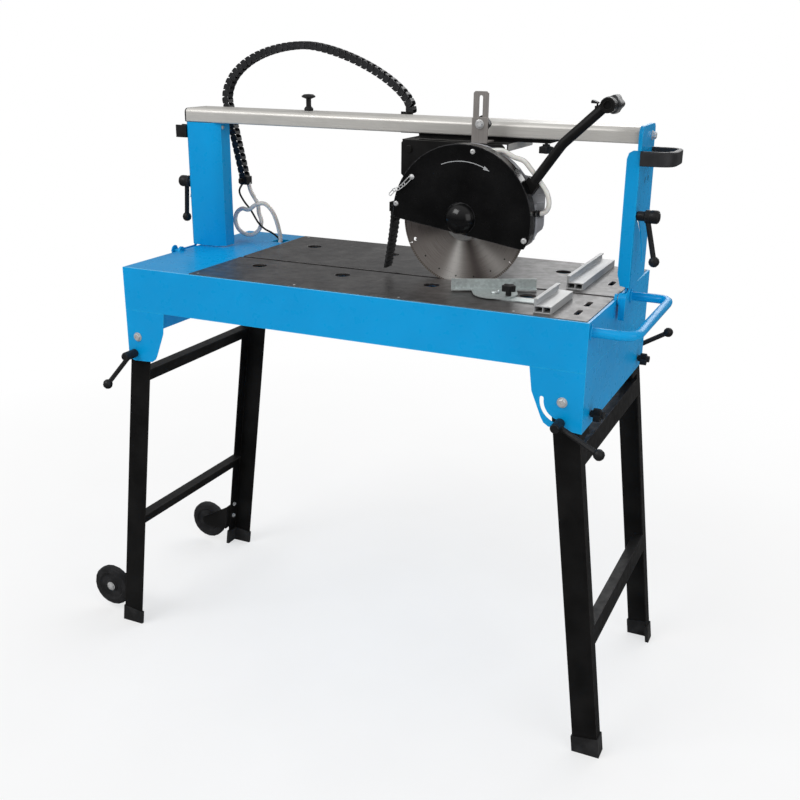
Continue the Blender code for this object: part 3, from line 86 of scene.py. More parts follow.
# ---------------------------------------------------------------- materials
class Shader:
    """A Principled material and short ways to add nodes to it."""

    def __init__(self, name):
        self.material = bpy.data.materials.new(name)
        self.material.use_nodes = True
        self.tree = self.material.node_tree
        self.bsdf = self.tree.nodes["Principled BSDF"]
        self.place = self.node("ShaderNodeTexCoord").outputs["Object"]

    def node(self, kind, props=None, **inputs):
        node = self.tree.nodes.new(kind)
        for key, value in (props or {}).items():
            setattr(node, key, value)
        for key, value in inputs.items():
            self.feed(node.inputs[key.replace("_", " ")], value)
        return node

    def feed(self, socket, value):
        if isinstance(value, bpy.types.NodeSocket):
            self.tree.links.new(value, socket)
        else:
            socket.default_value = value

    def scaled(self, stretch):
        node = self.node("ShaderNodeVectorMath", {"operation": "MULTIPLY"})
        self.feed(node.inputs[0], self.place)
        self.feed(node.inputs[1], stretch)
        return node.outputs[0]

    def noise(self, scale, detail=3, stretch=(1, 1, 1), rough=0.5):
        node = self.node("ShaderNodeTexNoise", Scale=scale, Detail=detail, Roughness=rough)
        self.feed(node.inputs["Vector"], self.scaled(stretch))
        return node.outputs["Fac"]

    def cells(self, scale, output="Distance"):
        return self.node("ShaderNodeTexVoronoi", Scale=scale, Vector=self.place).outputs[output]

    def spread(self, value, low, high, to_low=0.0, to_high=1.0):
        node = self.node("ShaderNodeMapRange")
        for socket, given in zip(node.inputs, (value, low, high, to_low, to_high)):
            self.feed(socket, given)
        return node.outputs[0]

    def maths(self, operation, a, b=0.0):
        node = self.node("ShaderNodeMath", {"operation": operation})
        self.feed(node.inputs[0], a)
        self.feed(node.inputs[1], b)
        return node.outputs[0]

    def mix(self, factor, a, b):
        node = self.node("ShaderNodeMix", {"data_type": "RGBA"})
        self.feed(node.inputs[0], factor)
        for socket, colour in ((node.inputs[6], a), (node.inputs[7], b)):
            self.feed(socket, colour if isinstance(colour, bpy.types.NodeSocket) else (*colour, 1.0))
        return node.outputs[2]

    def bump(self, height, strength, distance, below=None):
        node = self.node("ShaderNodeBump", Height=height, Strength=strength, Distance=distance)
        if below is not None:
            self.feed(node.inputs["Normal"], below)
        return node.outputs[0]

    def edges(self, radius):
        """1 on sharp edges, fading to 0 on flat faces."""
        bevel = self.node("ShaderNodeBevel", {"samples": 4}, Radius=radius)
        flat = self.node("ShaderNodeNewGeometry").outputs["Normal"]
        dot = self.node("ShaderNodeVectorMath", {"operation": "DOT_PRODUCT"})
        self.feed(dot.inputs[0], bevel.outputs[0])
        self.feed(dot.inputs[1], flat)
        return self.spread(dot.outputs["Value"], 0.995, 0.80)

    def set(self, **inputs):
        names = {"colour": "Base Color", "rough": "Roughness", "metal": "Metallic", "normal": "Normal",
                 "coat": "Coat Weight", "coat_rough": "Coat Roughness", "shine": "Specular IOR Level",
                 "brushed": "Anisotropic", "tangent": "Tangent", "sheen": "Sheen Weight",
                 "under": "Subsurface Weight"}
        for key, value in inputs.items():
            if key == "colour" and not isinstance(value, bpy.types.NodeSocket):
                value = (*value, 1.0)
            self.feed(self.bsdf.inputs[names[key]], value)
        return self.material


def enamel(name, dark, light, bright, rough=0.30):
    """Glossy stove enamel: orange peel, slow colour drift, and a painted highlight along the edges."""
    s = Shader(name)
    drift = s.mix(s.spread(s.noise(5, 2), 0.35, 0.65), dark, light)
    # Painted highlight: the edges are mixed toward the bright colour.
    painted_edge_highlight = s.maths("MULTIPLY", s.edges(0.0022), s.spread(s.noise(60), 0.30, 0.60, 0.35, 0.9))
    colour = s.mix(painted_edge_highlight, drift, bright)
    speck = s.spread(s.cells(420), 0.0, 0.06, 0.4, 0.0)
    colour = s.mix(s.maths("MULTIPLY", speck, s.spread(s.noise(18), 0.55, 0.7)), colour, bright)
    peel = s.bump(s.noise(520, 2), 0.10, 0.0004)
    return s.set(colour=colour, rough=s.spread(s.noise(45), 0.3, 0.7, rough - 0.05, rough + 0.07),
                 normal=s.bump(s.noise(9, 1), 0.05, 0.004, peel), coat=0.10, coat_rough=0.10, shine=0.20)


def powder_coat(name, base, wear_and_edge_highlight, rough, grain=900, coat=0.0, dust=0.25):
    """Black coating: fine grain, dusty flats and a painted highlight along the edges."""
    s = Shader(name)
    drift = s.mix(s.spread(s.noise(12, 4), 0.35, 0.7), base, [c * 1.8 + 0.003 for c in base])
    # Painted highlight: the edges are mixed toward the paler colour.
    painted_edge_highlight = s.maths("MULTIPLY", s.edges(0.0016), s.spread(s.noise(130), 0.35, 0.65, 0.25, 0.9))
    colour = s.mix(painted_edge_highlight, drift, wear_and_edge_highlight)
    specks = s.maths("MULTIPLY", s.spread(s.noise(700, 1), 0.68, 0.78), dust)
    colour = s.mix(specks, colour, [0.16, 0.15, 0.14])
    grained = s.bump(s.noise(grain, 3), 0.16, 0.0003)
    return s.set(colour=colour, rough=s.spread(s.noise(55, 4), 0.3, 0.7, rough - 0.06, rough + 0.1),
                 normal=grained, coat=coat, coat_rough=0.08, shine=0.22)


def moulded(name, base, wear_and_edge_highlight, rough=0.48, grain=1500):
    """Moulded plastic with a spark-eroded skin and scuffed corners."""
    s = Shader(name)
    drift = s.mix(s.spread(s.noise(35, 4), 0.35, 0.7), base, [c * 1.5 for c in base])
    scuffs = s.maths("MULTIPLY", s.edges(0.0018), s.spread(s.noise(220), 0.4, 0.65))
    colour = s.mix(s.maths("MULTIPLY", scuffs, 0.6), drift, wear_and_edge_highlight)
    skin = s.bump(s.cells(grain), 0.22, 0.0003, s.bump(s.noise(260), 0.08, 0.0006))
    return s.set(colour=colour, rough=s.spread(s.noise(90), 0.3, 0.7, rough - 0.08, rough + 0.1),
                 normal=skin, shine=0.28)


def rubber_like(name, base):
    s = Shader(name)
    dusty = s.mix(s.spread(s.noise(28, 5), 0.45, 0.75), base, [c * 2.2 + 0.006 for c in base])
    fine = s.bump(s.noise(650, 4), 0.3, 0.0004)
    return s.set(colour=dusty, rough=s.spread(s.noise(120), 0.3, 0.7, 0.66, 0.86),
                 normal=fine, sheen=0.04, shine=0.25)


def drawn_metal(name, tint, rough, along, lines=0.10, metal=1.0):
    """Metal with fine lines along one direction: extruded or brushed."""
    s = Shader(name)
    stretch = [1.0, 1.0, 1.0]
    stretch[along] = 0.006
    streaks = s.noise(1500, 3, stretch)
    broad = s.noise(160, 2, stretch)
    dull = [c * 0.72 for c in tint]
    colour = s.mix(s.spread(streaks, 0.25, 0.75), dull, tint)
    colour = s.mix(s.spread(s.noise(14, 4), 0.5, 0.75, 0.0, 0.35), colour, [c * 0.62 for c in tint])
    scratched = s.maths("ADD", s.spread(broad, 0.3, 0.7, -0.05, 0.07), rough)
    return s.set(colour=colour, metal=metal, rough=scratched, brushed=0.35,
                 normal=s.bump(streaks, lines, 0.0002))


def cast_metal(name, tint, rough=0.5, metal=0.7):
    s = Shader(name)
    blotch = s.mix(s.spread(s.noise(30, 5), 0.35, 0.7), tint, [c * 0.7 for c in tint])
    colour = s.mix(s.maths("MULTIPLY", s.edges(0.002), 0.5), blotch, [min(1, c * 1.6) for c in tint])
    sand = s.bump(s.noise(780, 4, rough=0.7), 0.35, 0.0005, s.bump(s.cells(240), 0.12, 0.0006))
    return s.set(colour=colour, metal=metal, normal=sand,
                 rough=s.spread(s.noise(140), 0.3, 0.7, rough - 0.08, rough + 0.1))


def table_coating(name):
    """Dark coated steel: mottled, scratched by tiles and paler towards the fence end."""
    s = Shader(name)
    split = s.node("ShaderNodeSeparateXYZ", Vector=s.place)
    paler = s.spread(split.outputs["X"], MIDDLE.x + 0.20, MIDDLE.x + 0.58)
    ground = s.mix(paler, (0.026, 0.024, 0.025), (0.120, 0.113, 0.111))
    mottled = s.mix(s.spread(s.noise(26, 6, rough=0.65), 0.40, 0.72, 0.0, 0.40), ground, (0.13, 0.125, 0.12))
    lengthwise = s.spread(s.noise(420, 2, (0.02, 1, 1)), 0.60, 0.70, 0.0, 0.35)
    across = s.spread(s.noise(380, 2, (1, 0.03, 1)), 0.64, 0.72, 0.0, 0.30)
    scratches = s.maths("MAXIMUM", lengthwise, across)
    scratches = s.maths("MULTIPLY", scratches, s.spread(s.noise(11, 3), 0.42, 0.62))
    wear_and_edge_highlight = s.mix(scratches, mottled, (0.36, 0.35, 0.34))
    colour = s.mix(s.maths("MULTIPLY", s.edges(0.0018), 0.55), wear_and_edge_highlight, (0.42, 0.41, 0.40))
    specks = s.maths("MULTIPLY", s.spread(s.noise(900, 1), 0.70, 0.78), 0.5)
    colour = s.mix(specks, colour, (0.45, 0.44, 0.42))
    normal = s.bump(s.noise(800, 4), 0.12, 0.0003, s.bump(scratches, -0.2, 0.0002))
    return s.set(colour=colour, metal=0.15, normal=normal,
                 rough=s.spread(s.noise(50, 5), 0.3, 0.7, 0.30, 0.46))


def ground_disc(name, centre):
    """Blade steel: rings left by grinding, which throw light out in wedges; those wedges of highlight and
    shade are painted into the colour.
    """
    s = Shader(name)
    split = s.node("ShaderNodeSeparateXYZ", Vector=s.place)
    across = s.maths("SUBTRACT", split.outputs["X"], centre.x)
    up = s.maths("SUBTRACT", split.outputs["Z"], centre.z)
    reach = s.maths("SQRT", s.maths("ADD", s.maths("MULTIPLY", across, across), s.maths("MULTIPLY", up, up)))
    angle = s.maths("ARCTAN2", up, across)
    rings = s.node("ShaderNodeTexNoise", {"noise_dimensions": "2D"}, Scale=1.0, Detail=3)
    place = s.node("ShaderNodeCombineXYZ", X=s.maths("MULTIPLY", reach, 2600),
                   Y=s.maths("MULTIPLY", angle, 1.5))
    s.feed(rings.inputs["Vector"], place.outputs[0])

    def painted_wedge(degrees, sharpness, weight):
        turned = s.maths("COSINE", s.maths("SUBTRACT", angle, math.radians(degrees)))
        return s.maths("MULTIPLY", s.maths("POWER", s.maths("MAXIMUM", turned, 0.0), sharpness), weight)

    base = s.mix(s.spread(rings.outputs["Fac"], 0.3, 0.7), (0.27, 0.24, 0.225), (0.40, 0.365, 0.34))
    # Painted shade: dark wedges where the steel reflects little light.
    shaded = s.mix(s.maths("ADD", painted_wedge(-72, 60, 0.75), painted_wedge(-165, 30, 0.6)), base, (0.06, 0.045, 0.042))
    # Painted highlight: bright wedges of reflected light.
    colour = s.mix(s.maths("ADD", painted_wedge(-101, 70, 1.0), painted_wedge(-48, 90, 0.35)), shaded, (0.95, 0.92, 0.88))
    tangent = s.node("ShaderNodeTangent", {"direction_type": "RADIAL", "axis": "Y"}).outputs[0]
    return s.set(colour=colour, metal=0.60, rough=s.spread(rings.outputs["Fac"], 0.3, 0.7, 0.27, 0.36),
                 brushed=0.75, tangent=tangent, normal=s.bump(rings.outputs["Fac"], 0.04, 0.0001))


def sintered(name):
    """Diamond segments: dark grit with pale specks painted in as glints."""
    s = Shader(name)
    painted_glints = s.spread(s.cells(2600), 0.0, 0.18, 1.0, 0.0)
    colour = s.mix(s.spread(s.noise(900, 3), 0.3, 0.7), (0.10, 0.088, 0.075), (0.20, 0.17, 0.15))
    # Painted highlight: pale glints of the grit.
    colour = s.mix(painted_glints, colour, (0.62, 0.58, 0.52))
    return s.set(colour=colour, metal=0.5, rough=0.6, normal=s.bump(s.cells(2600), 0.5, 0.0004))


def zinc_plate(name, tint=(0.50, 0.55, 0.545)):
    """Zinc plating: faint crystal blotches with a cool cast."""
    s = Shader(name)
    flakes = s.cells(190, output="Color")
    grey = s.node("ShaderNodeRGBToBW", Color=flakes).outputs[0]
    colour = s.mix(grey, [c * 0.80 for c in tint], [min(1, c * 1.15) for c in tint])
    colour = s.mix(s.maths("MULTIPLY", s.edges(0.0014), 0.6), colour, (0.85, 0.88, 0.88))
    return s.set(colour=colour, metal=0.50, rough=s.spread(grey, 0.0, 1.0, 0.32, 0.46),
                 normal=s.bump(s.noise(650, 3), 0.08, 0.0003))


def vinyl(name, body, rim):
    """Milky hose: its walls are painted darker where they turn away, as painted shade."""
    s = Shader(name)
    facing = s.node("ShaderNodeLayerWeight", Blend=0.45).outputs["Facing"]
    cloudy = s.mix(s.spread(s.noise(70, 4), 0.35, 0.7), body, [c * 0.86 for c in body])
    # Painted shade: darker colour where the walls face away from the view.
    colour = s.mix(s.spread(facing, 0.35, 0.95), cloudy, rim)
    return s.set(colour=colour, rough=s.spread(s.noise(200), 0.3, 0.7, 0.16, 0.28), under=0.08, coat=0.4,
                 normal=s.bump(s.noise(300, 2), 0.08, 0.0004))


BLUE = enamel("blue_enamel", (0.0, 0.292, 0.645), (0.0, 0.325, 0.705), (0.03, 0.54, 0.88))
WORN_BLUE = enamel("worn_enamel", (0.05, 0.42, 0.78), (0.14, 0.52, 0.86), (0.50, 0.76, 0.94), 0.40)
BLACK = powder_coat("black_powder_coat", (0.0035, 0.0033, 0.0032), (0.050, 0.044, 0.038), 0.44, dust=0.12)
GUARD = powder_coat("black_gloss_coat", (0.0014, 0.0014, 0.0016), (0.14, 0.14, 0.15), 0.20, 500, 0.30, 0.02)
PLASTIC = moulded("black_moulding", (0.009, 0.009, 0.0095), (0.12, 0.12, 0.125))
GREY_GRIP = moulded("grip_moulding", (0.022, 0.022, 0.0235), (0.20, 0.20, 0.21), 0.42)
CHAIN = moulded("chain_moulding", (0.014, 0.0145, 0.016), (0.15, 0.15, 0.16), 0.40, 1100)
RUBBER = rubber_like("black_rubber", (0.010, 0.010, 0.0105))
TYRE = rubber_like("tyre_rubber", (0.011, 0.011, 0.012))
RAIL = drawn_metal("rail_aluminium", (0.73, 0.71, 0.67), 0.38, 0, 0.06, 0.35)
FENCE = drawn_metal("fence_aluminium", (0.60, 0.605, 0.605), 0.44, 1, 0.07, 0.40)
CAST = cast_metal("cast_aluminium_skin", (0.47, 0.475, 0.50), 0.5, 0.30)
TABLE = table_coating("table_coating")
PLATE_STEEL = drawn_metal("plate_steel", (0.44, 0.41, 0.39), 0.38, 2, 0.08, 0.55)
ROD_STEEL = drawn_metal("rod_steel", (0.60, 0.59, 0.58), 0.32, 1, 0.08, 0.60)
DISC = ground_disc("blade_steel", (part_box("blade")[0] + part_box("blade")[1]) / 2)
GRIT = sintered("diamond_grit")
ZINC = zinc_plate("zinc_plating")
BOLT = zinc_plate("bolt_plating", (0.66, 0.66, 0.66))
# The second colour is the painted shade along the hose's outline.
HOSE = vinyl("hose_vinyl", (0.76, 0.74, 0.70), (0.36, 0.35, 0.335))
CABLE = rubber_like("cable_sheath", (0.010, 0.010, 0.011))
PALE = enamel("pale_print", (0.30, 0.31, 0.32), (0.36, 0.37, 0.38), (0.5, 0.5, 0.5), 0.4)

BY_SLOT = {
    "blue_paint": BLUE, "black_paint": BLACK, "black_plastic": PLASTIC, "rubber": RUBBER, "aluminium": RAIL,
    "cast_aluminium": CAST, "table_grey": TABLE, "steel": ROD_STEEL, "zinc": ZINC, "hose": HOSE,
}
BY_NODE = {
    "guard_cover": GUARD, "fence_front": FENCE, "fence_rear": FENCE, "blade": DISC,
    "depth_slot_plate": PLATE_STEEL, "depth_link": PLATE_STEEL, "front_wheel": TYRE, "rear_wheel": TYRE,
    "hand_grip": GREY_GRIP, "right_grip": GREY_GRIP, "tilt_pin_left": BLUE,
}


# ---------------------------------------------------------------- shading of the frame
def soft_shading():
    """Node group: joins the loose triangles of a mesh and shades it smooth up to an angle."""
    group = bpy.data.node_groups.new("soft_shading", "GeometryNodeTree")
    group.interface.new_socket("Geometry", in_out="INPUT", socket_type="NodeSocketGeometry")
    group.interface.new_socket("Geometry", in_out="OUTPUT", socket_type="NodeSocketGeometry")
    nodes, links = group.nodes, group.links
    start, end = nodes.new("NodeGroupInput"), nodes.new("NodeGroupOutput")
    merge = nodes.new("GeometryNodeMergeByDistance")
    merge.inputs["Distance"].default_value = 2e-6
    drop = nodes.new("GeometryNodeRemoveAttribute")
    drop.inputs["Name"].default_value = "custom_normal"
    smooth = nodes.new("GeometryNodeSetShadeSmooth")
    smooth.domain = "FACE"
    smooth.inputs["Shade Smooth"].default_value = True
    sharp = nodes.new("GeometryNodeSetShadeSmooth")
    sharp.domain = "EDGE"
    sharp.inputs["Shade Smooth"].default_value = False
    angle = nodes.new("GeometryNodeInputMeshEdgeAngle")
    wide = nodes.new("FunctionNodeCompare")
    wide.data_type, wide.operation = "FLOAT", "GREATER_THAN"
    wide.inputs[1].default_value = math.radians(38)
    links.new(angle.outputs[0], wide.inputs[0])
    links.new(wide.outputs[0], sharp.inputs["Selection"])
    chain = (start, merge, drop, smooth, sharp, end)
    for a, b in zip(chain, chain[1:]):
        links.new(a.outputs[0], b.inputs[0])
    return group


SOFT = soft_shading()
UNBEVELLED = ("blade", "cable_chain", "supply_hose", "splash_flap")
BEVEL_WIDTH = {"water_tray": 0.0011, "rail_beam": 0.0006, "guard_cover": 0.0009, "hand_grip": 0.0014,
               "table_front": 0.0006, "table_rear": 0.0006, "left_column": 0.0008, "right_column": 0.0008}


def round_edges(obj, width):
    bevel = obj.modifiers.new("edges", "BEVEL")
    bevel.width, bevel.segments, bevel.limit_method = width, 2, "ANGLE"
    bevel.angle_limit = SHARP_ANGLE


def dress(obj, width, material):
    """Rounded edges, smooth shading and a material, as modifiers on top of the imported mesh."""
    obj.data.materials.clear()
    obj.data.materials.append(material)
    first = obj.modifiers.new("joined", "NODES")
    first.node_group = SOFT
    if width:
        round_edges(obj, width)
        second = obj.modifiers.new("shaded", "NODES")
        second.node_group = SOFT
        weigh = obj.modifiers.new("flats", "WEIGHTED_NORMAL")
        weigh.keep_sharp = True


for subpart in frame["record"]["subparts"]:
    node = subpart["node"]
    dress(frame["nodes"][node], 0 if node in UNBEVELLED else BEVEL_WIDTH.get(node, 0.0005),
          BY_NODE.get(node, BY_SLOT[subpart["material_slot"]]))


# ---------------------------------------------------------------- mesh tools
def axes_of(direction):
    """Two unit vectors across a direction."""
    direction = Vector(direction).normalized()
    helper = Vector((0, 0, 1)) if abs(direction.z) < 0.9 else Vector((1, 0, 0))
    across = direction.cross(helper).normalized()
    return across, direction.cross(across).normalized(), direction


def lathe(bm, origin, direction, profile, steps=24, lobes=0, depth=0.0, spin=0.0):
    """Solid turned about a line: profile holds (radius, height) from one end to the other."""
    u, v, w = axes_of(direction)
    origin = Vector(origin)
    rings = []
    for radius, height in profile:
        ring = []
        if radius < 1e-7:
            ring = [bm.verts.new(origin + w * height)] * steps
        else:
            for i in range(steps):
                a = TAU * i / steps + spin
                reach = radius - depth * (0.5 - 0.5 * math.cos(lobes * a)) * (radius > depth * 2)
                ring.append(bm.verts.new(origin + w * height + (u * math.cos(a) + v * math.sin(a)) * reach))
        rings.append(ring)
    for low, high in zip(rings, rings[1:]):
        for i in range(steps):
            corners = []
            for vert in (low[i], low[(i + 1) % steps], high[(i + 1) % steps], high[i]):
                if vert not in corners:
                    corners.append(vert)
            if len(corners) > 2:
                bm.faces.new(corners)
    for ring, flip in ((rings[0], True), (rings[-1], False)):
        if ring[0] is not ring[1]:
            bm.faces.new(ring[::-1] if flip else ring)


def smooth_curve(points, per=8):
    """Catmull-Rom curve through points."""
    points = [Vector(p) for p in points]
    out = []
    for i in range(len(points) - 1):
        p0, p1, p2 = points[max(i - 1, 0)], points[i], points[i + 1]
        p3 = points[min(i + 2, len(points) - 1)]
        for k in range(per):
            t = k / per
            out.append(0.5 * (2 * p1 + (p2 - p0) * t + (2 * p0 - 5 * p1 + 4 * p2 - p3) * t * t
                              + (3 * p1 - p0 - 3 * p2 + p3) * t ** 3))
    return out + [points[-1]]


def tube(bm, path, radius, steps=12, closed=False):
    """Round rod along a path."""
    path = [Vector(p) for p in path]
    count = len(path)
    turns = [TAU * k / steps for k in range(steps)]
    rings, up = [], None
    for i, here in enumerate(path):
        before = path[i - 1] if (i or closed) else here
        after = path[(i + 1) % count] if (i + 1 < count or closed) else here
        run = (after - before).normalized()
        if up is None:
            up = axes_of(run)[0]
        up = (up - run * up.dot(run)).normalized()
        side = run.cross(up)
        rings.append([bm.verts.new(here + (up * math.cos(a) + side * math.sin(a)) * radius) for a in turns])
    pairs = list(zip(rings, rings[1:])) + ([(rings[-1], rings[0])] if closed else [])
    for low, high in pairs:
        for k in range(steps):
            bm.faces.new((low[k], low[(k + 1) % steps], high[(k + 1) % steps], high[k]))
    if not closed:
        bm.faces.new(rings[0][::-1])
        bm.faces.new(rings[-1])


def slab(bm, outline, place, depth):
    """Solid from a flat outline; place turns (a, b, d) into a point, d running over depth."""
    rings = [[bm.verts.new(place(a, b, d)) for a, b in outline] for d in depth]
    count = len(outline)
    for i in range(count):
        j = (i + 1) % count
        bm.faces.new((rings[0][i], rings[0][j], rings[1][j], rings[1][i]))
    bm.faces.new(rings[0][::-1])
    bm.faces.new(rings[1])


def block(bm, low, high):
    outline = [(low[0], low[2]), (high[0], low[2]), (high[0], high[2]), (low[0], high[2])]
    slab(bm, outline, lambda a, b, d: Vector((a, d, b)), (low[1], high[1]))


def arc(radius, start, end, steps, centre=(0, 0)):
    return [(centre[0] + radius * math.cos(math.radians(start + (end - start) * i / steps)),
             centre[1] + radius * math.sin(math.radians(start + (end - start) * i / steps)))
            for i in range(steps + 1)]


def piece(name, bm, material, body, bevel=0.0):
    """Turns a bmesh into a piece that rides on a body, or on none."""
    bmesh.ops.recalc_face_normals(bm, faces=bm.faces)
    mesh = bpy.data.meshes.new(name)
    bm.to_mesh(mesh)
    bm.free()
    mesh.transform(Matrix.Translation(MIDDLE))
    mesh.shade_smooth()
    mesh.set_sharp_from_angle(angle=SHARP_ANGLE)
    mesh.materials.append(material)
    obj = bpy.data.objects.new(name, mesh)
    bpy.context.scene.collection.objects.link(obj)
    if bevel:
        round_edges(obj, bevel)
    if body:
        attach(obj, body)
    return obj


def at(x, y, z):
    """A point measured from the tray's middle, in the row frame."""
    return Vector((x, y, z)) + MIDDLE


# Bolt profiles as shares of radius and height.
HEX_HEAD = ((0.82, 0.0), (1.0, 0.10), (1.0, 0.78), (0.86, 1.0), (0.0, 1.0))
WASHER_SHARE = 0.20
WASHER = ((1.30, 0.0), (1.30, 0.16), (1.22, WASHER_SHARE))
HEX_TURN = 0.3


def hex_bolt(bm, origin, direction, radius, height):
    """Hex head with chamfered corners on a washer."""
    lathe(bm, origin, direction, [(r * radius, h * height) for r, h in WASHER], 24)
    start = Vector(origin) + Vector(direction).normalized() * height * WASHER_SHARE
    height *= 1 - WASHER_SHARE
    lathe(bm, start, direction, [(r * radius, h * height) for r, h in HEX_HEAD], 6, spin=HEX_TURN)


def round_screw(bm, origin, direction, radius):
    """Domed screw head with a round socket."""
    dome = [(1.0, 0.0), (1.0, 0.18)]
    for degrees in (20, 40, 58):
        a = math.radians(degrees)
        dome.append((math.cos(a), 0.18 + 0.5 * math.sin(a)))
    dome += [(0.40, 0.60), (0.36, 0.30), (0.0, 0.30)]
    lathe(bm, origin, direction, [(radius * r, radius * h) for r, h in dome], 24)


# ---------------------------------------------------------------- cable chain
CHAIN_Y = 0.165
CHAIN_LINKS = 52


def chain_line():
    """Middle line of the cable chain as (x, z), from the left column to the carriage."""
    line = [(-0.514, 1.190), (-0.532, 1.270), (-0.550, 1.350)]
    apex, foot, rise, half = -0.310, 1.400, 0.154, 0.0105
    for side, reach, power in ((-1, 0.262, 2.0), (1, 0.306, 1.5)):
        for i in range(side > 0, 31):
            turn = math.radians(3 * i)
            t = math.cos(turn) if side < 0 else math.sin(turn)
            high = max(1 - t ** power, 0.0) ** (1 / power)
            line.append((apex + side * (reach - half) * t, foot + (rise - half) * high))
    line.append((line[-1][0], 1.389))
    return line


def by_length(line, count):
    """count + 1 points evenly spaced along a polyline."""
    line = [Vector(point) for point in line]
    reach = [0.0]
    for a, b in zip(line, line[1:]):
        reach.append(reach[-1] + (b - a).length)
    out, k = [], 0
    for i in range(count + 1):
        want = reach[-1] * i / count
        while k < len(line) - 2 and reach[k + 1] < want:
            k += 1
        t = (want - reach[k]) / max(reach[k + 1] - reach[k], 1e-9)
        out.append(line[k].lerp(line[k + 1], t))
    return out


def chain_link(bm, a, b):
    """One hollow link: side plates that overlap the next link's, bars across and pins at the joint."""
    start = Vector((a.x, 0, a.y))
    run = Vector((b.x - a.x, 0, b.y - a.y))
    pitch = run.length
    run.normalize()
    out = Vector((-run.z, 0, run.x))

    def place(s, n, d):
        return start + run * s + out * n + Vector((0, d, 0))

    inner = [(pitch * 0.72, 0.0078), (pitch * 0.72, -0.0078)]
    inner += [(-s * 0.7, -n) for s, n in arc(0.0090, -62, 62, 6)]
    outer = [(pitch * 0.32, -0.0092), (pitch * 0.80, -0.0098)]
    outer += [(pitch + s * 0.55 - 0.001, n) for s, n in arc(0.0098, -66, 66, 6)]
    outer += [(pitch * 0.80, 0.0098), (pitch * 0.32, 0.0092)]
    pin = [(0.0032, 0), (0.0029, 0.0005), (0.0, 0.0005)]
    for side in (-1, 1):
        slab(bm, inner, place, sorted((CHAIN_Y + side * 0.0086, CHAIN_Y + side * 0.0104)))
        slab(bm, outer, place, sorted((CHAIN_Y + side * 0.0105, CHAIN_Y + side * 0.0123)))
        lathe(bm, place(pitch, 0, CHAIN_Y + side * 0.0120), (0, side, 0), pin, 10)
    for n in (-0.0100, 0.0082):
        bar = [(pitch * s, n + rise) for s, rise in ((0.22, 0), (0.70, 0), (0.70, 0.0018), (0.22, 0.0018))]
        slab(bm, bar, place, (CHAIN_Y - 0.0105, CHAIN_Y + 0.0105))


def cable_chain():
    bm = bmesh.new()
    joints = by_length(chain_line(), CHAIN_LINKS)
    for a, b in zip(joints, joints[1:]):
        chain_link(bm, a, b)
    links = piece("cable_chain_links", bm, CHAIN, None)
    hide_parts("cable_chain")
    # The line between the two bodies leans upward, so that the arch narrows and hardly folds over itself.
    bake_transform(links)


def chain_anchor():
    """Clip that holds the chain's lower end to the left column."""
    bm = bmesh.new()
    block(bm, (-0.526, 0.1515, 1.178), (-0.501, 0.1785, 1.200))
    block(bm, (-0.5145, 0.130, 1.184), (-0.5115, 0.1600, 1.197))
    piece("chain_anchor", bm, PLASTIC, "bridge", 0.0015)


cable_chain()
chain_anchor()


# ---------------------------------------------------------------- hoses and cables
def rod_piece(name, points, radius, steps, material, body=None, per=7):
    """A hose or cable: a round rod along a smooth curve through points."""
    bm = bmesh.new()
    tube(bm, smooth_curve(points, per), radius, steps)
    return piece(name, bm, material, body)


def water_hose():
    """From the cable chain, round one loop, down through the deck and along to the pump."""
    (loop_x, loop_z), reach, steps = (-0.505, 1.077), 0.038, 18
    path = [(-0.508, 0.168, 1.1890), (-0.500, 0.168, 1.160), (-0.480, 0.168, 1.128)]
    for i in range(0, steps + 1, 2):
        a = math.radians(40 - 330 * i / steps)
        path.append((loop_x + reach * math.cos(a), 0.168 - 0.026 * i / steps, loop_z + reach * math.sin(a)))
    path += [(-0.468, 0.144, 1.128), (-0.445, 0.152, 1.130), (-0.427, 0.164, 1.105), (-0.421, 0.180, 1.060)]
    path += [(-0.424, 0.190, 1.020), (-0.440, 0.165, 0.992), (-0.480, 0.100, 0.976), (-0.495, 0.065, 0.972)]
    path += [(-0.495, 0.0465, 0.972)]
    hose = rod_piece("water_hose", path, 0.0057, 16, HOSE)
    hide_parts("supply_hose")
    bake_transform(hose)


def pump_cable():
    path = [(-0.515, 0.160, 1.186), (-0.530, 0.157, 1.160), (-0.516, 0.154, 1.135), (-0.491, 0.151, 1.110)]
    path += [(-0.468, 0.150, 1.078), (-0.452, 0.158, 1.060), (-0.441, 0.175, 1.048), (-0.432, 0.195, 1.030)]
    path += [(-0.430, 0.205, 1.005), (-0.445, 0.190, 0.985), (-0.485, 0.120, 0.985), (-0.505, 0.050, 0.985)]
    path += [(-0.508, 0.028, 0.980)]
    cable = rod_piece("pump_cable", path, 0.0027, 12, CABLE)
    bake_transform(cable)


def guard_hose():
    """Hose that brings water round the rear of the guard."""
    path = [(0.262, -0.046, 1.318), (0.276, -0.046, 1.3265), (0.295, -0.046, 1.3290)]
    path += [(0.309, -0.046, 1.3275), (0.331, -0.046, 1.316), (0.355, -0.046, 1.309)]
    path += [(0.372, -0.0455, 1.292), (0.3925, -0.045, 1.268), (0.411, -0.045, 1.243)]
    path += [(0.4175, -0.045, 1.219), (0.412, -0.046, 1.202), (0.398, -0.0475, 1.196)]
    path += [(0.386, -0.0485, 1.196)]
    rod_piece("guard_hose", path, 0.0055, 16, HOSE, "head")


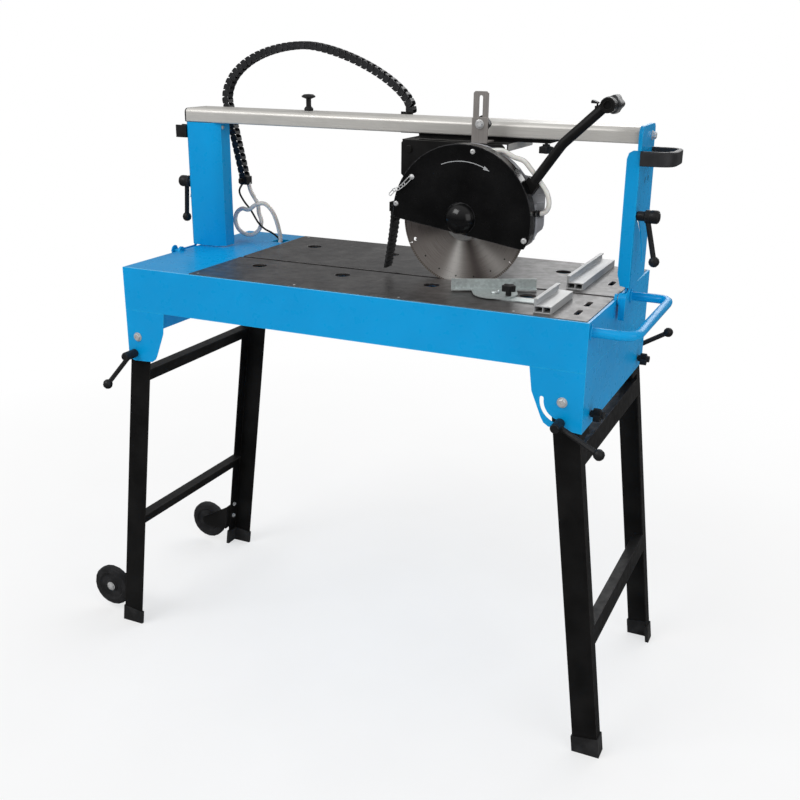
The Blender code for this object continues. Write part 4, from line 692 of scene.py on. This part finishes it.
def hose_nipples():
    """Ribbed nipple at the hose's lower end and a plain one at its upper end."""
    bm = bmesh.new()
    ribbed = [(0.0060, 0.0)]
    for i in range(4):
        ribbed += [(0.0078, 0.0010 + 0.0045 * i), (0.0060, 0.0042 + 0.0045 * i)]
    lathe(bm, (0.400, -0.0475, 1.196), (-1, 0.02, 0), ribbed + [(0.0, 0.0190)], 20)
    plain = [(0.0066, 0), (0.0066, 0.006), (0.0052, 0.008), (0, 0.008)]
    lathe(bm, (0.2620, -0.0460, 1.3120), (0.75, 0, 0.65), plain, 20)
    piece("hose_nipples", bm, PLASTIC, "head")


water_hose()
pump_cable()
guard_hose()
hose_nipples()


# ---------------------------------------------------------------- ribbed splash flap
FLAP_RIBS = 15


def ribbed_flap():
    """Rubber flap with moulded ribs across it and rounded long edges."""
    bm = bmesh.new()
    middle = [(0.0505, 0, 1.190), (0.0490, 0, 1.160), (0.0440, 0, 1.120)]
    middle = smooth_curve(middle + [(0.0375, 0, 1.080), (0.0310, 0, 1.044)], 30)
    front, back = -0.0822, -0.0388
    rows = []
    for i, here in enumerate(middle):
        share = i / (len(middle) - 1)
        wave = math.cos(TAU * FLAP_RIBS * share)
        half = 0.0046 - 0.0012 * share + 0.0005 * wave
        narrow = 0.0008 * wave - 0.004 * share
        y0, y1 = front - narrow * 0.2 + 0.001, back + narrow - 0.001
        lip = min(half * 0.9, 0.0022)
        rows.append([bm.verts.new((here.x + dx, y, here.z)) for dx, y in (
            (half, y0 + lip), (half, y1 - lip), (half * 0.5, y1), (-half * 0.5, y1),
            (-half, y1 - lip), (-half, y0 + lip), (-half * 0.5, y0), (half * 0.5, y0))])
    for low, high in zip(rows, rows[1:]):
        for k in range(8):
            bm.faces.new((low[k], low[(k + 1) % 8], high[(k + 1) % 8], high[k]))
    bm.faces.new(rows[0])
    bm.faces.new(rows[-1][::-1])
    flap = piece("ribbed_flap", bm, RUBBER, "head")
    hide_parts("splash_flap")
    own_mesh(flap)


def flap_clip():
    bm = bmesh.new()
    block(bm, (0.0440, -0.0835, 1.180), (0.0600, -0.0585, 1.2020))
    block(bm, (0.0575, -0.0740, 1.178), (0.0660, -0.0595, 1.1960))
    rivet = [(0.0042, 0), (0.0042, 0.0012), (0.0028, 0.0022), (0, 0.0022)]
    lathe(bm, (0.0520, -0.0835, 1.1920), (0, -1, 0), rivet, 16)
    piece("flap_clip", bm, BLACK, "head", 0.0008)


ribbed_flap()
flap_clip()


# ---------------------------------------------------------------- guard details
GUARD_HUB = (0.225, 1.175)
GUARD_FACE = -0.0920
SHELL_FACE = -0.0374


def seen_from_front(a, b, d):
    """Lays an (x, z) outline in the plane of the guard, at depth d."""
    return Vector((a, d, b))


def chain_ring(bm, start, end, thick, reach, turned):
    """One oblong steel link between two points."""
    run = (end - start).normalized()
    flat = Vector((0, -1, 0)).cross(run).normalized()
    side = Matrix.Rotation(turned, 3, run) @ flat
    half = (end - start).length / 2
    middle = (start + end) / 2
    loop = []
    for i in range(20):
        a = TAU * i / 20
        along = math.cos(a) * reach + (half - reach * 0.4) * (1 if math.cos(a) > 0 else -1)
        loop.append(middle + run * along + side * math.sin(a) * reach)
    tube(bm, loop, thick, 8, closed=True)


def safety_chain():
    """Short steel chain from a button on the guard to the flap's clip."""
    bm = bmesh.new()
    hang = [(0.1010, -0.0958, 1.2610), (0.086, -0.0962, 1.246), (0.073, -0.0962, 1.236)]
    hang = smooth_curve(hang + [(0.062, -0.0960, 1.232), (0.052, -0.0950, 1.222)], 1)
    for i, (a, b) in enumerate(zip(hang, hang[1:])):
        grow = (b - a) * 0.10
        chain_ring(bm, a - grow, b + grow, 0.0011, 0.0036, math.radians(18 if i % 2 else -18))
    button = [(0.0062, 0), (0.0062, 0.0012), (0.0046, 0.0030), (0.0020, 0.0036), (0, 0.0036)]
    lathe(bm, (0.1045, -0.0918, 1.2640), (0, -1, 0), button, 20)
    piece("safety_chain", bm, BOLT, "head")


def guard_screws():
    bm = bmesh.new()
    for x, z, size in ((0.251, 1.328, 0.0058), (0.0655, 1.2010, 0.0060), (0.3785, 1.1405, 0.0066)):
        round_screw(bm, (x, GUARD_FACE, z), (0, -1, 0), size)
    piece("guard_screws", bm, BOLT, "head")


def rotation_arrow():
    """Plain printed arrow that shows which way the blade turns."""
    bm = bmesh.new()
    depth = (GUARD_FACE - 0.0001, GUARD_FACE + 0.0001)
    shaft = arc(0.1315, 112, 66, 24, GUARD_HUB) + arc(0.1298, 66, 112, 24, GUARD_HUB)
    slab(bm, shaft, seen_from_front, depth)
    corners = ((0.1306, 59), (0.1350, 66), (0.1263, 66))
    head = [arc(radius, angle, angle, 1, GUARD_HUB)[0] for radius, angle in corners]
    slab(bm, head, seen_from_front, depth)
    piece("rotation_arrow", bm, PALE, "head")


def guard_edge_bead():
    bm = bmesh.new()
    rim = arc(0.1683, -10, 178, 60, GUARD_HUB) + arc(0.1660, 178, -10, 60, GUARD_HUB)
    slab(bm, rim, seen_from_front, (GUARD_FACE - 0.0001, GUARD_FACE + 0.0015))
    piece("guard_edge_bead", bm, GUARD, "head", 0.0005)


def shell_ribs():
    """Cast ribs on the front of the rear shell."""
    bm = bmesh.new()
    for x, z in arc(0.150, 24, 66, 5, GUARD_HUB):
        out = Vector((x - GUARD_HUB[0], 0, z - GUARD_HUB[1])).normalized()
        ends = (Vector((x, SHELL_FACE, z)) - out * 0.014, Vector((x, SHELL_FACE - 0.0006, z)) + out * 0.010)
        tube(bm, ends, 0.0016, 8)
    for z in (1.182, 1.200, 1.218, 1.236):
        tube(bm, [(0.388, SHELL_FACE, z), (0.404, SHELL_FACE, z + 0.003)], 0.0017, 8)
    piece("shell_ribs", bm, CAST, "head")


safety_chain()
guard_screws()
rotation_arrow()
guard_edge_bead()
shell_ribs()


# ---------------------------------------------------------------- motor details
BLADE_HUB = (0.218, 1.164)
MOTOR_BACK = 0.2045


def motor_fins():
    """Cooling fins round the motor, left out where the terminal box sits."""
    bm = bmesh.new()
    hub = Vector((BLADE_HUB[0], 0, BLADE_HUB[1]))
    fin = [(-0.0013, 0.0712), (-0.0008, 0.0765), (0.0008, 0.0765), (0.0013, 0.0712)]
    for i in range(30):
        a = TAU * i / 30
        if 38 < math.degrees(a) < 96:
            continue
        out, across = Vector((math.cos(a), 0, math.sin(a))), Vector((-math.sin(a), 0, math.cos(a)))
        slab(bm, fin, lambda s, r, d, out=out, across=across: hub + out * r + across * s + Vector((0, d, 0)),
             (0.010, 0.146))
    piece("motor_fins", bm, CAST, "head", 0.0004)


def fan_grille():
    """Rings and spokes over the fan at the motor's back."""
    bm = bmesh.new()
    for i in range(4):
        ring = arc(0.016 + 0.011 * i, 0, 360, 40, BLADE_HUB)[:-1]
        tube(bm, [(x, MOTOR_BACK + 0.0007, z) for x, z in ring], 0.0016, 8, closed=True)
    for i in range(6):
        spoke = [arc(radius, 60 * i, 60 * i, 1, BLADE_HUB)[0] for radius in (0.008, 0.055)]
        tube(bm, [(x, MOTOR_BACK + 0.0007, z) for x, z in spoke], 0.0018, 8)
    hub = [(0.010, 0), (0.010, 0.002), (0.006, 0.0034), (0, 0.0034)]
    lathe(bm, (BLADE_HUB[0], MOTOR_BACK, BLADE_HUB[1]), (0, 1, 0), hub, 20)
    piece("fan_grille", bm, PLASTIC, "head")


def terminal_fittings():
    """Four screws on the terminal box and the gland that its cable comes through."""
    bm = bmesh.new()
    for x in (0.2365, 0.2775):
        for y in (0.047, 0.113):
            round_screw(bm, (x, y, 1.2560), (0, 0, 1), 0.0030)
    gland = [(0.0095, 0), (0.0095, 0.006), (0.0075, 0.007), (0.0075, 0.013), (0.0045, 0.015), (0, 0.015)]
    lathe(bm, (0.257, 0.120, 1.240), (0, 1, 0), gland, 6)
    piece("terminal_fittings", bm, BOLT, "head")


def motor_cable():
    path = [(0.257, 0.134, 1.240), (0.250, 0.158, 1.246), (0.205, 0.182, 1.268), (0.120, 0.190, 1.298)]
    path += [(0.035, 0.188, 1.330), (-0.005, 0.180, 1.352), (-0.019, 0.172, 1.375), (-0.019, 0.168, 1.395)]
    cable = rod_piece("motor_cable", path, 0.0036, 12, CABLE, per=8)
    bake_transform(cable)


motor_fins()
fan_grille()
terminal_fittings()
motor_cable()


# ---------------------------------------------------------------- blade rim
SEGMENTS = 180
SEGMENT_GAP = 0.24                  # degrees left free at each end of a segment
BLADE_FACE = -0.0488
RIVETS = 18
FIRST_RIVET = -117                  # degrees


def blade_segments():
    bm = bmesh.new()
    step = 360 / SEGMENTS
    for i in range(SEGMENTS):
        first, last = i * step + SEGMENT_GAP, (i + 1) * step - SEGMENT_GAP
        shape = arc(0.1500, first, last, 2, BLADE_HUB) + arc(0.1448, last, first, 2, BLADE_HUB)
        slab(bm, shape, seen_from_front, (BLADE_FACE - 0.0006, BLADE_FACE + 0.0022))
    piece("blade_segments", bm, GRIT, "blade_body")


def blade_rivets():
    bm = bmesh.new()
    head = [(0.0020, 0), (0.0020, 0.0005), (0.0013, 0.00055), (0, 0.00055)]
    for i in range(RIVETS):
        turned = 360 / RIVETS * i + FIRST_RIVET
        x, z = arc(0.129, turned, turned, 1, BLADE_HUB)[0]
        lathe(bm, (x, BLADE_FACE, z), (0, -1, 0), head, 14)
    piece("blade_rivets", bm, PLASTIC, "blade_body")


blade_segments()
blade_rivets()


# ---------------------------------------------------------------- fasteners
UP, LEFT, RIGHT, FORWARD = (0, 0, 1), (-1, 0, 0), (1, 0, 0), (0, -1, 0)
SIDES = (-1, 1)
RAIL_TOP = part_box("rail_beam")[1].z
CARRIAGE_TOP = 1.3485
FENCE_FOOT_TOP = 1.0310
LEG_FACE = 0.2857
LEFT_PIVOT_Z = 0.849
LEG_TILT = math.tan(math.radians(7.05))


def bolts(name, body, rows, material=BOLT):
    """Hex bolts: each row is place, direction, radius, height."""
    bm = bmesh.new()
    for place, direction, radius, height in rows:
        hex_bolt(bm, place, direction, radius, height)
    piece(name, bm, material, body)


def both_sides(x, y, z, radius, height):
    """The same bolt on the front and the back, pointing outward."""
    return [((x, side * y, z), (0, side, 0), radius, height) for side in SIDES]


def wheel_mount_nuts():
    """Two nuts on each wheel bracket, on the slant of the left legs."""
    rows = []
    for side in SIDES:
        for z in (0.096, 0.137):
            x = -0.5775 - (LEFT_PIVOT_Z - z) * LEG_TILT
            rows.append(((x, side * 0.256, z), (1, 0, 0.12), 0.0052, 0.0050))
    bolts("wheel_mount_nuts", "left_legs", rows)


bolts("left_pivot_nuts", "left_legs", both_sides(-0.556, LEG_FACE, LEFT_PIVOT_Z, 0.0088, 0.0060))
bolts("right_pivot_nuts", "right_legs", both_sides(0.542, LEG_FACE, 0.848, 0.0088, 0.0060))
bolts("axle_bolts", "left_legs", both_sides(-0.751, 0.2492, 0.074, 0.0098, 0.0050))
wheel_mount_nuts()
bolts("rail_end_bolts", "bridge", [((0.5966, 0.128, 1.362), RIGHT, 0.0082, 0.0090),
                                   ((-0.6082, 0.052, 1.3635), LEFT, 0.0068, 0.0062)])
bolts("column_notch_bolt", "bridge", [((-0.5055, 0.052, 1.338), (1, -0.2, 0), 0.0042, 0.0040)])
bolts("fence_bolts", "frame",
      [((0.493, y, FENCE_FOOT_TOP), UP, 0.0042, 0.0036) for y in (-0.180, 0.060, 0.210)])
bolts("carriage_bolts", "trolley",
      [((x, y, CARRIAGE_TOP), UP, 0.0045, 0.0040) for x in (0.160, 0.275) for y in (0.060, 0.115)], PLASTIC)
bolts("depth_bolt", "depth_knob_body", [((0.2415, -0.0300, 1.382), FORWARD, 0.0080, 0.0066)])
bolts("transport_nut", "bridge", [((-0.272, 0.100, RAIL_TOP - 0.0002), UP, 0.0085, 0.0060)])


# ---------------------------------------------------------------- small fittings
TILT_BOLT = (0.048, 1.193)
COLUMN_FACE = 0.6120
GUIDE_PIVOT = (0.337, -0.150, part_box("guide_arm")[0].z + 0.0025)
TABLE_TOP = 1.0257
RIM_TOP = 1.0240


def seen_from_left(a, b, d):
    """Lays a (y, z) outline in a plane across the saw, at depth d."""
    return Vector((d, a, b))


def channel_edge():
    """Bare metal edge of the carriage's channel, with its lower corners rounded."""
    bm = bmesh.new()
    outline = [(0.1675, 1.3395), (-0.0075, 1.3395)] + arc(0.003, 180, 270, 3, (-0.0062, 1.3262))
    outline += arc(0.003, 270, 360, 3, (0.1662, 1.3262))
    slab(bm, outline, seen_from_left, (0.3036, 0.3045))
    piece("channel_edge", bm, RAIL, "trolley", 0.0003)


def lever_sleeve(side, name):
    """Fluted sleeve on a tilt clamp's hub."""
    bm = bmesh.new()
    sleeve = [(0.0125, 0), (0.0150, 0.002), (0.0150, 0.010), (0.0142, 0.011), (0.0142, 0.013)]
    sleeve += [(0.0150, 0.014), (0.0150, 0.028), (0.0130, 0.031), (0.0060, 0.032), (0, 0.032)]
    lathe(bm, (side * COLUMN_FACE, *TILT_BOLT), (side, 0, 0), sleeve, 28, 14, 0.0008)
    piece(f"{name}_lever_sleeve", bm, PLASTIC, f"tilt_clamp_{name}")


def guide_pivot_rivet():
    bm = bmesh.new()
    round_screw(bm, GUIDE_PIVOT, UP, 0.0080)
    piece("guide_pivot_rivet", bm, PLASTIC, "guide_swing_body")


def rim_wear():
    """Strip of worn paint along the tray's front rim."""
    bm = bmesh.new()
    wear_and_edge_highlight = [(-0.5868, -0.2852), (-0.20, -0.2853), (0.14, -0.2852), (0.5868, -0.2853), (0.5868, -0.2812)]
    wear_and_edge_highlight += [(0.22, -0.2803), (-0.12, -0.2808), (-0.36, -0.2802), (-0.5868, -0.2810)]
    slab(bm, wear_and_edge_highlight, lambda a, b, d: Vector((a, b, d)), (RIM_TOP - 0.0002, RIM_TOP + 0.0002))
    piece("rim_wear", bm, WORN_BLUE, "frame")


def table_screws():
    bm = bmesh.new()
    head = [(0.0028, 0), (0.0028, 0.0002), (0.0022, 0.0004), (0.0008, 0.0001), (0, 0.0001)]
    for x in (-0.376, -0.110, 0.155, 0.420):
        for y in (-0.266, 0.266):
            lathe(bm, (x, y, TABLE_TOP), UP, head, 16)
    piece("table_screws", bm, BOLT, "frame")


def tilt_pointer():
    """Small pointer on the left column's web, below the tilt clamp."""
    bm = bmesh.new()
    outline = [(0.034, 1.152), (0.050, 1.156), (0.054, 1.162), (0.038, 1.161)]
    slab(bm, outline, seen_from_left, (-0.6088, -0.6069))
    piece("tilt_pointer", bm, BOLT, "bridge", 0.0003)


def slot_shade_plates():
    """Two black plates on the right column's web: painted shade standing in for two slots."""
    bm = bmesh.new()
    for y, z in ((0.103, 1.266), (0.134, 1.267)):
        outline = [(y + a * 0.0022, z + b * 0.006) for a, b in ((-1, -1), (1, -1), (1, 1), (-1, 1))]
        slab(bm, outline, seen_from_left, (0.5930, 0.5939))
    piece("slot_shade_plates", bm, PLASTIC, "bridge", 0.0008)


channel_edge()
lever_sleeve(-1, "left")
lever_sleeve(1, "right")
guide_pivot_rivet()
rim_wear()
table_screws()
tilt_pointer()
slot_shade_plates()


# ---------------------------------------------------------------- floor, light and camera
def pale_floor():
    """Matt floor that fades into the white of the backdrop away from the saw."""
    s = Shader("floor_paint")
    colour = s.mix(s.spread(s.noise(3, 3), 0.3, 0.7), (0.84, 0.84, 0.84), (0.88, 0.88, 0.88))
    reach = s.node("ShaderNodeVectorMath", {"operation": "LENGTH"}, Vector=s.place).outputs["Value"]
    rays = s.node("ShaderNodeLightPath")
    far = s.maths("MULTIPLY", s.spread(reach, 0.3, 2.6, 0.50, 1.0), rays.outputs["Is Camera Ray"])
    colour = s.mix(rays.outputs["Is Glossy Ray"], colour, (0.14, 0.14, 0.14))
    s.feed(s.bsdf.inputs["Emission Color"], (1.0, 1.0, 1.0, 1.0))
    s.feed(s.bsdf.inputs["Emission Strength"], far)
    material = s.set(colour=s.mix(far, colour, (0, 0, 0)), rough=0.8, shine=0.0,
                     normal=s.bump(s.noise(60, 3), 0.02, 0.001))
    bpy.ops.mesh.primitive_plane_add(size=60, location=(0, 0, 0))
    floor = bpy.context.object
    floor.name = "floor"
    floor.data.materials.append(material)


def area_light(name, place, target, size, power):
    data = bpy.data.lights.new(name, "AREA")
    data.shape, data.size, data.size_y = "RECTANGLE", size[0], size[1]
    data.energy = power
    lamp = bpy.data.objects.new(name, data)
    bpy.context.scene.collection.objects.link(lamp)
    lamp.location = at(*place)
    lamp.rotation_euler = (at(*target) - lamp.location).to_track_quat("-Z", "Y").to_euler()


pale_floor()
area_light("key", (-1.6, -2.6, 3.6), (0, 0, 1.0), (2.2, 1.6), 62)
area_light("fill", (3.2, -1.8, 1.9), (0, 0, 0.9), (2.4, 2.4), 24)
area_light("back", (0.6, 3.2, 2.6), (0, 0, 1.0), (3.0, 1.6), 45)


def studio_world():
    """White to the camera, soft grey light on surfaces, a dark room with a bright ceiling in reflections."""
    world = bpy.data.worlds.new("studio")
    world.use_nodes = True
    tree = world.node_tree
    rays = tree.nodes.new("ShaderNodeLightPath")
    place = tree.nodes.new("ShaderNodeTexCoord")
    split = tree.nodes.new("ShaderNodeSeparateXYZ")
    rise = tree.nodes.new("ShaderNodeMapRange")
    for socket, value in zip(rise.inputs[1:5], (0.0, 0.9, 0.14, 0.70)):
        socket.default_value = value
    tree.links.new(place.outputs["Generated"], split.inputs[0])
    tree.links.new(split.outputs["Z"], rise.inputs[0])
    glossy, strength = tree.nodes.new("ShaderNodeMix"), tree.nodes.new("ShaderNodeMix")
    glossy.inputs[2].default_value = 0.62
    strength.inputs[3].default_value = 1.0
    tree.links.new(rays.outputs["Is Glossy Ray"], glossy.inputs[0])
    tree.links.new(rise.outputs[0], glossy.inputs[3])
    tree.links.new(rays.outputs["Is Camera Ray"], strength.inputs[0])
    tree.links.new(glossy.outputs[0], strength.inputs[2])
    tree.links.new(strength.outputs[0], tree.nodes["Background"].inputs["Strength"])
    tree.nodes["Background"].inputs["Color"].default_value = (1.0, 1.0, 1.0, 1.0)
    bpy.context.scene.world = world


studio_world()
bpy.context.scene.view_settings.view_transform = "Standard"

camera_data = bpy.data.cameras.new("camera")
camera_data.sensor_width = 36.0
camera_data.lens = 46.23
camera_data.shift_x, camera_data.shift_y = 0.0031, -0.0046
camera_data.clip_start, camera_data.clip_end = 0.05, 100
camera = bpy.data.objects.new("camera", camera_data)
bpy.context.scene.collection.objects.link(camera)
camera.location = at(1.0797, -2.2625, 1.5627)
camera.rotation_euler = (1.2353, -0.0091, 0.4371)
bpy.context.scene.camera = camera
